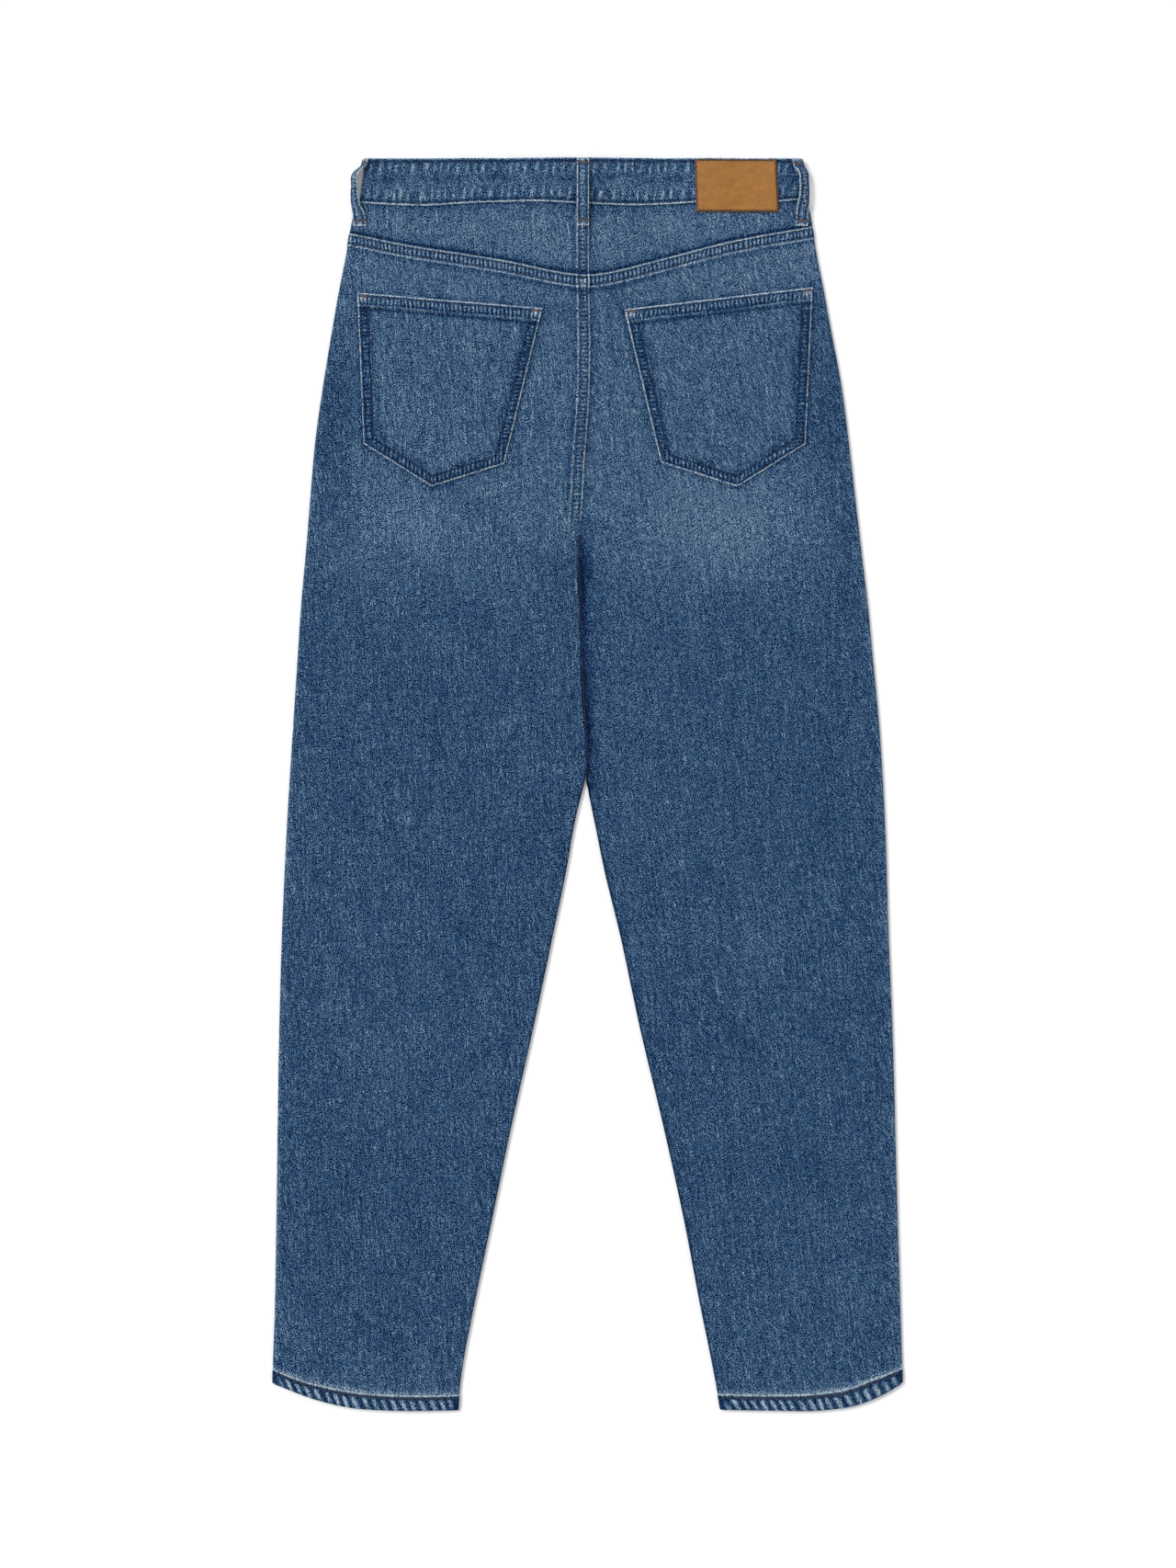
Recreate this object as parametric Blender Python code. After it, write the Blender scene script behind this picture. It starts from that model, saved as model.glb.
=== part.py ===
# Jeans laid flat on their front, so that the back faces up.
# X runs across the garment, Y from the hems up to the waist, Z is up.
# Sizes are in millimetres, and add_node turns them into metres.
# "Down" is how far a point lies below the top edge of the waist.
# Side is -1 for the leg at -X, the wearer's left, and 1 for the other.
# "Inner" is the edge next to the other leg, and "outer" is the fold at the hip and shin.

import bmesh
import bpy
import numpy as np

MM = 0.001
LEFT, RIGHT = -1, 1

# Cloth and seams
HALF_LENGTH = 531.5    # waist edge to the middle of the garment
CLOTH = 1.2            # wall of the denim
SEAM_GAP = 0.3         # between pieces that a seam joins
FOLD_RADIUS = 2.2      # outer radius where a leg folds at its side
LIP = 13.0             # reach of the back panels round onto the front
SEAM_RAISE = 0.8       # a felled seam stands this much above the cloth
SEAM_WIDTH = 9.5
SEAM_SLOPE = 2.0       # width over which the felled seam drops to the cloth
CROTCH = 322.0
SETTLE = 22.0          # width over which the cloth rises from a fold

# Waistband and front closing
BAND_WALL = 2.0
BAND_RADIUS = 2.45
FLY_EDGE = 6.0         # X of the overlapping edge of the front
UNDERLAP_END = -38.0   # X where the lower end of the band stops
UNDERLAP_LIFT = BAND_WALL + SEAM_GAP
FRONT_TOP = 37.3       # where the front panels start, below the band
LEFT_EDGE, RIGHT_EDGE = 38.0, 35.0    # lower edge of the band at the folds of the hips
SIDE_PART = 165.0      # beyond this X the front of the band ends level with the folds
LIFT_CENTER, LIFT_FLAT, LIFT_FALL = -8.0, 36.0, 60.0
LIFT_END, LIFT_SETTLE = 45.0, 90.0

BUTTON_X, BUTTON_DOWN = -10.0, 19.0
BUTTON_RADIUS, BUTTON_HIGH = 8.5, 2.4
BUTTON_LIFT = BUTTON_HIGH + SEAM_GAP
BUTTON_FLAT, BUTTON_FALL = 11.0, 50.0

ZIP_END = 172.0
ZIP_HALF, CHAIN_HALF = 14.0, 3.0
TAPE_WALL, CHAIN_RAISE = 0.8, 0.6
FACING_WALL = 1.0
SCOOP_WIDE, SCOOP_DEEP = 67.0, 76.0

# Belt loops
LOOP_WALL = 1.3
LOOP_HALF = 5.1
LOOP_LENGTH = 57.0
FRONT_LOOP_X = 101.0
FRONT_LOOP_WALL = 1.2
FRONT_LOOP_LIFT = FRONT_LOOP_WALL + SEAM_GAP
FRONT_LOOP_FLAT, FRONT_LOOP_FALL = 7.0, 25.0
CENTER_LOOP_X = -4.3

# Pockets, patch and hems
POCKET_GAP = 0.4
POCKET_HEM, POCKET_HEM_RAISE = 0.085, 0.6
PATCH_WALL, PATCH_GAP = 1.2, 0.35
HEM_PROUD = 0.5        # a hem is thicker than the leg by this much
HEM_WAVES = 19
HEM_WAVE_HEIGHT = 0.9
HEM_SLANT = 12.0       # how far a ridge of the hem leans from its top to its bottom


def table(columns, rows):
    # One array for each named column.
    return dict(zip(columns.split(), np.array(rows, float).T))


# Folds at the hips and shins, seen from above
OUTER = {
    LEFT: table("down x", [
        (38.6, -194.6), (48, -199.2), (60, -202.0), (80, -205.3), (110, -211.2),
        (150, -218.2), (190, -224.7), (240, -231.8), (290, -236.2), (330, -239.4),
        (380, -243.9), (430, -247.2), (480, -250.5), (560, -255.5), (660, -260.2),
        (740, -262.4), (900, -264.8), (980, -266.3), (1027, -267.9), (1063, -268.3)]),
    RIGHT: table("down x", [
        (35.0, 185.6), (48, 189.2), (60, 190.8), (80, 194.0), (110, 199.9),
        (150, 207.3), (190, 214.8), (240, 221.5), (290, 227.3), (330, 231.9),
        (380, 237.8), (430, 242.6), (480, 247.3), (560, 252.2), (660, 255.5),
        (740, 258.7), (900, 263.1), (980, 265.6), (1027, 267.0), (1063, 268.3)]),
}

# Folds along the inseams, from the crotch to the hems
INNER = {
    LEFT: table("down x", [
        (322, -7.0), (350, -7.4), (390, -6.0), (430, -5.0), (480, -2.2), (501, -1.0),
        (524, -1.8), (536, -4.5), (552, -8.6), (567, -11.9), (600, -17.6), (660, -29.9),
        (740, -46.8), (820, -64.7), (900, -81.3), (980, -97.9), (1020, -105.6),
        (1045, -109.0), (1063, -110.0)]),
    RIGHT: table("down x", [
        (322, -6.4), (430, -4.5), (501, -0.4), (524, -0.9), (536, 0.0), (552, 3.1),
        (567, 6.2), (600, 12.8), (660, 27.3), (740, 44.4), (820, 63.5), (900, 81.1),
        (980, 96.4), (1020, 104.6), (1045, 109.3), (1063, 112.3)]),
}

CENTER_SEAM = table("down x", [
    (35, 0.9), (100, 1.2), (170, 2.0), (216, 0.5), (250, -2.3), (285, -4.2), (322, -7.0)])

# Lower edge of the waistband across the back
BAND_EDGE = table("x down", [
    (-194.6, LEFT_EDGE), (-143, 40.2), (-91, 37.8), (-41, 37.1), (2, 39.4), (42, 40.2),
    (91, 37.8), (163, 36.6), (185, RIGHT_EDGE), (187, RIGHT_EDGE)])
BAND_SIDES = table("down left right", [(0, -189.2, 181.4), (38, -194.4, 185.6)])

# Yoke seam and hems, by the share of the way from the inner to the outer edge
YOKE_SEAM = {
    LEFT: table("share down", [
        (0, 99.0), (0.05, 98.6), (0.14, 96.0), (0.33, 87.8), (0.54, 80.6), (0.75, 74.0),
        (1, 63.6)]),
    RIGHT: table("share down", [
        (0, 99.0), (0.05, 98.0), (0.12, 95.6), (0.33, 85.4), (0.64, 70.4), (1, 57.9)]),
}
HEM_LINE = {
    LEFT: table("share down", [
        (0, 1049.5), (0.26, 1050.0), (0.51, 1047.9), (0.67, 1044.0), (0.83, 1037.8),
        (1, 1027.7)]),
    RIGHT: table("share down", [
        (0, 1048.9), (0.28, 1049.5), (0.52, 1048.3), (0.72, 1043.2), (0.84, 1035.9),
        (1, 1026.6)]),
}
HEM_EDGE = {
    LEFT: table("share down", [
        (0, 1062.8), (0.38, 1062.9), (0.59, 1060.4), (0.75, 1054.6), (1, 1040.1)]),
    RIGHT: table("share down", [
        (0, 1062.4), (0.28, 1063.0), (0.56, 1062.8), (0.76, 1057.9), (0.92, 1047.2),
        (1, 1039.6)]),
}

# How far the cloth of the back stands above its folds
SWELL = table("down height", [
    (35, 0.2), (110, 0.7), (200, 0.9), (320, 1.1), (500, 1.2), (700, 0.9), (860, 1.2),
    (1000, 0.8), (1063, 0.4)])

# Largest soft folds of the back: a line from start to end, its half width and its height
CREASES = {
    LEFT: table("x1 down1 x2 down2 wide high", [
        (-132, 292, -40, 352, 20, -0.7),
        (-150, 330, -75, 375, 26, 0.6),
        (-215, 470, -120, 560, 30, -0.6),
        (-120, 640, -170, 780, 30, 0.5),
        (-225, 850, -165, 960, 26, -0.5)]),
    RIGHT: table("x1 down1 x2 down2 wide high", [
        (80, 300, 135, 330, 28, 0.8),
        (25, 345, 75, 410, 22, -0.6),
        (60, 520, 170, 600, 30, 0.5),
        (90, 720, 165, 770, 26, -0.6),
        (210, 830, 170, 950, 28, 0.5)]),
}

# Corners of the back pockets
POCKETS = {
    LEFT: table("x down", [
        (-195.8, 114.3), (-38.7, 127.5), (-71.0, 259.4), (-132.6, 278.9), (-190.5, 242.5)]),
    RIGHT: table("x down", [
        (30.9, 128.6), (190.7, 109.7), (184.7, 242.7), (126.9, 279.0), (61.8, 258.2)]),
}
PATCH_CORNERS = table("x down", [(90.5, 1.2), (160.1, 1.2), (162.2, 45.5), (91.9, 45.9)])

# Height of the inner face of the centre loop above the cloth
CENTER_LOOP = table("down gap", [
    (0.6, 0.3), (6.5, 0.3), (10.5, 2.6), (15, 4.6), (22, 4.9), (36, 4.9), (43, 4.7),
    (47, 3.1), (51, 1.3), (57.5, 1.1)])

# Inner faces of the loops at the hips: the edge toward the middle, and the outer edge
SIDE_LOOPS = {
    LEFT: table("down x1 z1 x2 z2", [
        (0.8, -186.4, 9.2, -191.5, 0.4), (6.5, -187.6, 9.3, -192.6, 0.4),
        (12, -194.3, 9.6, -199.0, 0.4), (24, -196.3, 9.8, -200.8, 0.5),
        (33, -195.3, 9.6, -201.2, 1.2), (40, -192.9, 9.0, -200.8, 3.4),
        (46, -190.2, 7.2, -199.9, 5.0), (51, -188.9, 5.3, -199.4, 5.0),
        (57.5, -188.3, 5.0, -198.6, 4.9)]),
    RIGHT: table("down x1 z1 x2 z2", [
        (0.8, 173.6, 5.4, 182.5, 5.2), (6.5, 174.4, 6.6, 183.8, 5.4),
        (13, 178.2, 11.2, 186.6, 6.2), (20, 179.0, 12.6, 187.3, 6.6),
        (31, 179.0, 12.6, 187.6, 6.6), (38, 177.8, 10.6, 187.5, 6.2),
        (44, 176.9, 7.4, 187.0, 5.4), (50, 176.5, 5.4, 186.6, 5.0),
        (57.5, 176.3, 5.1, 186.4, 4.8)]),
}


def smooth(share):
    # Eases from 0 to 1.
    share = np.clip(share, 0, 1)
    return share * share * (3 - 2 * share)


def follow(rows, key, at, column):
    # Value of a column on a smooth curve through the rows of a table.
    places, values = rows[key], rows[column]
    slopes = np.gradient(values, places)
    at = np.clip(at, places[0], places[-1])
    start = np.clip(np.searchsorted(places, at) - 1, 0, len(places) - 2)
    width = places[start + 1] - places[start]
    t = (at - places[start]) / width
    hold = (2 * t**3 - 3 * t**2 + 1) * values[start] + (3 * t**2 - 2 * t**3) * values[start + 1]
    turn = (t**3 - 2 * t**2 + t) * slopes[start] + (t**3 - t**2) * slopes[start + 1]
    return hold + turn * width


def outer_edge(side, down):
    return follow(OUTER[side], "down", down, "x")


def inner_edge(side, down):
    # The centre seam above the crotch, and the fold of the inseam below it.
    seam = follow(CENTER_SEAM, "down", down, "x") + (SEAM_GAP if side == RIGHT else 0)
    fold = follow(INNER[side], "down", down, "x")
    if side == RIGHT:
        fold = np.maximum(fold, follow(INNER[LEFT], "down", down, "x") + 0.5)
    return np.where(np.asarray(down) < CROTCH, seam, fold)


def front_bumps(x, down):
    # What lies under the front lifts the layers above it: the button and two belt loops.
    away = np.hypot(x - BUTTON_X, down - BUTTON_DOWN)
    lift = BUTTON_LIFT * (1 - smooth((away - BUTTON_FLAT) / BUTTON_FALL))
    along = 1 - smooth((down - LOOP_LENGTH - 2) / FRONT_LOOP_FALL)
    for loop_x in (-FRONT_LOOP_X, FRONT_LOOP_X):
        beside = np.abs(x - loop_x) - FRONT_LOOP_FLAT
        lift = lift + FRONT_LOOP_LIFT * (1 - smooth(beside / FRONT_LOOP_FALL)) * along
    return lift


def stack(x, down):
    # Lift of the back where the ends of the band overlap beneath it.
    over = 1 - smooth((np.abs(x - LIFT_CENTER) - LIFT_FLAT) / LIFT_FALL)
    fade = 1 - smooth((down - LIFT_END) / LIFT_SETTLE)
    return UNDERLAP_LIFT * over * fade + front_bumps(x, down)


def creases(side, x, down):
    # Sum of soft troughs and ridges, each strongest in the middle of its line.
    rows = CREASES[side]
    total = 0
    for i in range(len(rows["x1"])):
        line = np.array([rows["x2"][i] - rows["x1"][i], rows["down2"][i] - rows["down1"][i]])
        length = np.hypot(*line)
        line = line / length
        from_start = x - rows["x1"][i], down - rows["down1"][i]
        along = from_start[0] * line[0] + from_start[1] * line[1]
        off = from_start[0] * line[1] - from_start[1] * line[0]
        ends = np.maximum(np.abs(along - length / 2) - length / 4, 0) / (length / 4)
        total = total + rows["high"][i] * np.exp(-(off / rows["wide"][i]) ** 2 - ends**2)
    return total


def back_height(side, x, down):
    # Upper face of the back: level with the folds at the edges, swelling between them.
    rise = smooth((np.abs(outer_edge(side, down) - x) - FOLD_RADIUS) / SETTLE)
    apart = smooth((down - CROTCH + 70) / 70)
    from_fold = np.abs(x - follow(INNER[side], "down", down, "x")) - FOLD_RADIUS
    rise = rise * (1 - apart * (1 - smooth(from_fold / SETTLE)))
    swell = follow(SWELL, "down", down, "height") + creases(side, x, down)
    return 2 * FOLD_RADIUS + rise * swell + stack(x, down)


def place(x, down, z):
    return np.stack(np.broadcast_arrays(x, HALF_LENGTH - np.asarray(down), z), axis=-1)


def fold(edge, side, radius, wall):
    # Section of a fold from its top round to its underside: outer and inner (x, z) points.
    angles = np.radians([0, 45, 90, 135, 180])
    center = edge - side * radius
    outside = np.stack([center + side * radius * np.sin(angles), radius * (1 + np.cos(angles))])
    tight = radius - wall
    inside = np.stack([center + side * tight * np.sin(angles), radius + tight * np.cos(angles)])
    return outside, inside


def add_node(name, points, faces, look):
    # One closed body from points in millimetres, with its own material.
    mesh = bpy.data.meshes.new(name)
    mesh.from_pydata((np.asarray(points) * MM).tolist(), [], faces)
    shape = bmesh.new()
    shape.from_mesh(mesh)
    bmesh.ops.recalc_face_normals(shape, faces=shape.faces)
    shape.to_mesh(mesh)
    shape.free()
    mesh.shade_smooth()
    mesh.set_sharp_from_angle(angle=np.radians(35))
    color, roughness, metallic = look
    material = bpy.data.materials.new(name)
    material.use_nodes = True
    shader = material.node_tree.nodes["Principled BSDF"]
    shader.inputs["Base Color"].default_value = (*color, 1)
    shader.inputs["Roughness"].default_value = roughness
    shader.inputs["Metallic"].default_value = metallic
    mesh.materials.append(material)
    node = bpy.data.objects.new(name, mesh)
    bpy.context.scene.collection.objects.link(node)


def add_wall(name, outside, inside, look, keep=None, ring=False):
    # A closed wall between two grids of points. Keep says which cells of the grid are cloth,
    # and a ring's last column meets its first.
    rows, columns = outside.shape[:2]
    cells_across = columns if ring else columns - 1
    if keep is None:
        keep = np.ones((rows - 1, cells_across), bool)
    inner_start = rows * columns
    faces = []
    for i, j in np.argwhere(keep):
        after = (j + 1) % columns
        corners = [(i, j), (i, after), (i + 1, after), (i + 1, j)]
        numbers = [int(row * columns + column) for row, column in corners]
        faces.append(numbers)
        faces.append([inner_start + number for number in reversed(numbers)])
        before, beyond = (j - 1) % columns, (j + 1) % cells_across
        open_sides = (
            i == 0 or not keep[i - 1, j],
            (not ring and j == cells_across - 1) or not keep[i, beyond],
            i == rows - 2 or not keep[i + 1, j],
            (not ring and j == 0) or not keep[i, before],
        )
        for k in np.flatnonzero(open_sides):
            first, second = numbers[k], numbers[(k + 1) % 4]
            faces.append([second, first, inner_start + first, inner_start + second])
    points = np.concatenate([outside.reshape(-1, 3), inside.reshape(-1, 3)])
    used = np.unique(np.concatenate([np.array(face) for face in faces]))
    renumber = np.full(len(points), -1)
    renumber[used] = np.arange(len(used))
    add_node(name, points[used], [renumber[face].tolist() for face in faces], look)


DENIM = ((0.055, 0.125, 0.225), 0.85, 0.0)
DENIM_FADED = ((0.10, 0.18, 0.27), 0.85, 0.0)
LEATHER = ((0.42, 0.21, 0.085), 0.6, 0.0)
BRASS = ((0.55, 0.40, 0.20), 0.4, 1.0)
TAPE = ((0.03, 0.05, 0.09), 0.8, 0.0)


def flat_columns(inner, outer, first):
    # X of the columns across a back panel, closer together along its seams and folds.
    side = np.sign(outer - inner)
    near_inner = inner + side * np.array([first, SEAM_WIDTH, SEAM_WIDTH + SEAM_SLOPE, 28])
    between = inner + (outer - inner) * np.array([0.28, 0.41, 0.53, 0.65, 0.77])
    near_outer = outer - side * np.array([26, 11, FOLD_RADIUS])
    return np.concatenate([near_inner, between, near_outer])


def panel_rows(side, levels, down_at):
    # Points of a back panel or yoke. Down_at gives a level's distance down at each share.
    outside, inside = [], []
    for level in levels:
        inner_x = float(inner_edge(side, down_at(level, 0.0)))
        outer_down = float(down_at(level, 1.0))
        outer_x = float(outer_edge(side, outer_down))
        below = float(down_at(level, 0.0)) >= CROTCH
        x = flat_columns(inner_x, outer_x, FOLD_RADIUS if below else 0.0)
        down = down_at(level, (x - inner_x) / (outer_x - inner_x))
        height = back_height(side, x, down)
        felled = np.zeros(len(x))
        if side == LEFT and not below:
            felled[:2] = 1 - smooth((down[:2] - CROTCH + 60) / 45)
        edge_out, edge_in = fold(outer_x, side, FOLD_RADIUS, CLOTH)
        hem_out, hem_in = fold(inner_x, -side, FOLD_RADIUS, CLOTH)
        seam_x, seam_down = inner_x + side * LIP, down_at(level, 0.0)
        row_out = np.concatenate([
            [place(seam_x, seam_down, 0.0)],
            place(hem_out[0, :0:-1], seam_down, hem_out[1, :0:-1]),
            place(x, down, height + SEAM_RAISE * felled),
            place(edge_out[0, 1:], outer_down, edge_out[1, 1:]),
            [place(outer_x - side * LIP, outer_down, 0.0)]])
        row_in = np.concatenate([
            [place(seam_x, seam_down, CLOTH)],
            place(hem_in[0, :0:-1], seam_down, hem_in[1, :0:-1]),
            place(x, down, height - CLOTH),
            place(edge_in[0, 1:], outer_down, edge_in[1, 1:]),
            [place(outer_x - side * LIP, outer_down, CLOTH)]])
        outside.append(row_out)
        inside.append(row_in)
    return np.array(outside), np.array(inside)


INSEAM_CELLS = 5       # cells of a back panel's grid that turn under along the inseam
FOLD_CELLS = 5         # and along its outer fold


def back_down(side):
    # Rows follow the yoke seam at the top, run level down the leg and end along the hem.
    seam, hem = YOKE_SEAM[side], HEM_LINE[side]
    seam_level, hem_level = 84.0, 1043.0

    def down_at(level, share):
        top = follow(seam, "share", share, "down") - seam_level
        end = follow(hem, "share", share, "down") - SEAM_GAP - hem_level
        near_top = 1 - smooth((level - seam_level) / 200)
        near_end = smooth((level - hem_level + 120) / 120)
        return level + top * near_top + end * near_end

    return down_at


BACK_LEVELS = np.array([
    84, 93.5, 95.5, 112, 140, 170, 200, 228, 256, 280, 300, 322, 345, 372, 402, 436, 470,
    502, 528, 556, 590, 635, 685, 735, 785, 835, 885, 935, 980, 1015, 1043], float)


def add_back(name, side):
    outside, inside = panel_rows(side, BACK_LEVELS, back_down(side))
    flat = slice(INSEAM_CELLS, outside.shape[1] - FOLD_CELLS)
    outside[:2, flat, 2] = inside[:2, flat, 2] + CLOTH + SEAM_RAISE
    keep = np.ones((len(BACK_LEVELS) - 1, outside.shape[1] - 1), bool)
    keep[BACK_LEVELS[:-1] < CROTCH, :INSEAM_CELLS] = False
    add_wall(name, outside, inside, DENIM, keep)


def add_yoke(name, side):
    # From the waistband's lower edge to the yoke seam, folding round the hip.
    top_inner = float(inner_edge(side, 38.0))
    top_outer = float(outer_edge(side, 38.0))

    def down_at(level, share):
        top_x = top_inner + (top_outer - top_inner) * share
        top = follow(BAND_EDGE, "x", top_x, "down") + SEAM_GAP
        end = follow(YOKE_SEAM[side], "share", share, "down") - SEAM_GAP
        return top + (end - top) * level

    outside, inside = panel_rows(side, [0, 0.35, 0.7, 1], down_at)
    add_wall(name, outside[:, INSEAM_CELLS:], inside[:, INSEAM_CELLS:], DENIM_FADED)


def scoop_edge(side, down):
    # Edge of the front pocket's opening, a quarter of an ellipse out to the side seam.
    seam = outer_edge(side, down) - side * (LIP + SEAM_GAP)
    start = outer_edge(side, FRONT_TOP) - side * (LIP + SCOOP_WIDE)
    share = np.clip((down - FRONT_TOP) / SCOOP_DEEP, 0, 1)
    return seam + (start - seam) * np.sqrt(1 - share**2)


SCOOP_LEVELS = np.array([37.3, 58, 76, 90, 101, 108, 112, 114])
FRONT_LEVELS = np.concatenate([SCOOP_LEVELS, BACK_LEVELS[BACK_LEVELS > SCOOP_LEVELS[-1]]])


def add_front(name, side):
    # Flat on the surface, from the fly to the inseam and out to the side seam.
    shares = np.array([0, 0.12, 0.27, 0.42, 0.57, 0.72, 0.86, 1])
    fly_x = FLY_EDGE + (SEAM_GAP if side == RIGHT else 0)
    crotch_x = (float(inner_edge(LEFT, CROTCH)) + float(inner_edge(RIGHT, CROTCH))) / 2
    crotch_x = crotch_x + side * SEAM_GAP / 2
    slanted = back_down(side)
    under = np.zeros((len(FRONT_LEVELS), len(shares) + 1, 3))
    for i, level in enumerate(FRONT_LEVELS):
        if level <= SCOOP_LEVELS[-1]:
            ends = level, level
        else:
            ends = float(slanted(level, 0.0)), float(slanted(level, 1.0))
        fold_x = float(follow(INNER[side], "down", ends[0], "x"))
        inner_x = fold_x + side * (LIP + SEAM_GAP)
        outer_x = float(scoop_edge(side, ends[1]))
        middle = fly_x + (crotch_x - fly_x) * smooth((ends[0] - ZIP_END) / (CROTCH - ZIP_END))
        x = np.concatenate([[middle], inner_x + (outer_x - inner_x) * shares])
        span = (x - fold_x) / (float(outer_edge(side, ends[1])) - fold_x)
        down = level + 0 * x if level <= SCOOP_LEVELS[-1] else slanted(level, span)
        if level == CROTCH:
            down[:2] -= SEAM_GAP
        if level == FRONT_LEVELS[-1]:
            down -= SEAM_GAP
        under[i] = place(x, down, front_bumps(x, down))
    above = under + np.array([0, 0, CLOTH])
    keep = np.ones((len(FRONT_LEVELS) - 1, len(shares)), bool)
    keep[FRONT_LEVELS[1:] > CROTCH, 0] = False
    add_wall(name, under, above, DENIM, keep)


def add_facing(name, side):
    # The cloth seen in the scoop of a front pocket, behind the front panel.
    levels = FRONT_TOP + np.array([1.5, 22, 44, 66, 92])
    shares = np.array([0, 0.18, 0.36, 0.6, 0.8, 1])
    start = float(outer_edge(side, FRONT_TOP)) - side * (LIP + SCOOP_WIDE + 16)
    outside = []
    for level in levels:
        end = float(outer_edge(side, level)) - side * 5
        x = start + (end - start) * shares
        lower = CLOTH + SEAM_GAP + front_bumps(x, level)
        outside.append(place(x, level, lower))
    outside = np.array(outside)
    add_wall(name, outside, outside + np.array([0, 0, FACING_WALL]), DENIM)


def add_waistband(name):
    # One strip from its overlapping end round the back to its underlapping end.
    front_left = np.array([
        FLY_EDGE, -2, -14, -24, -36, -48, -60, -70, -82, -94, -108, -120, -133,
        -148, -SIDE_PART])
    back = np.linspace(0, 1, 27)
    front_right = np.array([
        SIDE_PART, 148, 133, 120, 108, 94, 82, 70, 60, 46, 34, 25, 16, 9, -2, -12, -22,
        UNDERLAP_END])
    outside, inside = [], []
    for share in (0.0, 0.33, 0.67, 1.0):
        left = float(follow(BAND_SIDES, "down", 38 * share, "left"))
        right = float(follow(BAND_SIDES, "down", 38 * share, "right"))
        back_x = left + BAND_RADIUS + (right - left - 2 * BAND_RADIUS) * back
        back_down = share * follow(BAND_EDGE, "x", back_x, "down")
        left_front, right_front = (
            share * np.where(np.abs(x) < SIDE_PART, FRONT_TOP - SEAM_GAP, edge)
            for x, edge in ((front_left, LEFT_EDGE), (front_right, RIGHT_EDGE)))
        top = 2 * BAND_RADIUS + stack(back_x, back_down)
        ramp = UNDERLAP_LIFT * (1 - smooth((front_right - FLY_EDGE - 3) / 15))
        left_low = front_bumps(front_left, left_front)
        right_low = front_bumps(front_right, right_front) + ramp
        left_out, left_in = fold(left, LEFT, BAND_RADIUS, BAND_WALL)
        right_out, right_in = fold(right, RIGHT, BAND_RADIUS, BAND_WALL)
        left_down, right_down = back_down[0], back_down[-1]
        outside.append(np.concatenate([
            place(front_left, left_front, left_low),
            place(left_out[0, :0:-1], left_down, left_out[1, :0:-1]),
            place(back_x, back_down, top),
            place(right_out[0, 1:], right_down, right_out[1, 1:]),
            place(front_right, right_front, right_low)]))
        inside.append(np.concatenate([
            place(front_left, left_front, left_low + BAND_WALL),
            place(left_in[0, :0:-1], left_down, left_in[1, :0:-1]),
            place(back_x, back_down, top - BAND_WALL),
            place(right_in[0, 1:], right_down, right_in[1, 1:]),
            place(front_right, right_front, right_low + BAND_WALL)]))
    add_wall(name, np.array(outside), np.array(inside), DENIM_FADED)


def add_pocket(name, side):
    # A five-sided patch on the back panel, made from the panel's height and moved out.
    x, down = POCKETS[side]["x"], POCKETS[side]["down"]
    bottom = table("x down", [(x[4], down[4]), (x[3], down[3]), (x[2], down[2])])
    point = (x[3] - x[4]) / (x[2] - x[4])
    shares = np.array([0, 0.07, 0.25, point, 0.75, 0.93, 1])
    top_x = x[0] + (x[1] - x[0]) * shares
    top_down = down[0] + (down[1] - down[0]) * shares
    low_x = x[4] + (x[2] - x[4]) * shares
    low_down = np.interp(low_x, bottom["x"], bottom["down"])
    rows = np.array([0, POCKET_HEM - 0.01, POCKET_HEM + 0.01, 0.3, 0.52, 0.75, 1])[:, None]
    grid_x = top_x + (low_x - top_x) * rows
    grid_down = top_down + (low_down - top_down) * rows
    under = back_height(side, grid_x, grid_down) + POCKET_GAP
    over = under + CLOTH + POCKET_HEM_RAISE * (rows < POCKET_HEM)
    add_wall(name, place(grid_x, grid_down, over), place(grid_x, grid_down, under), DENIM_FADED)


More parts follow.
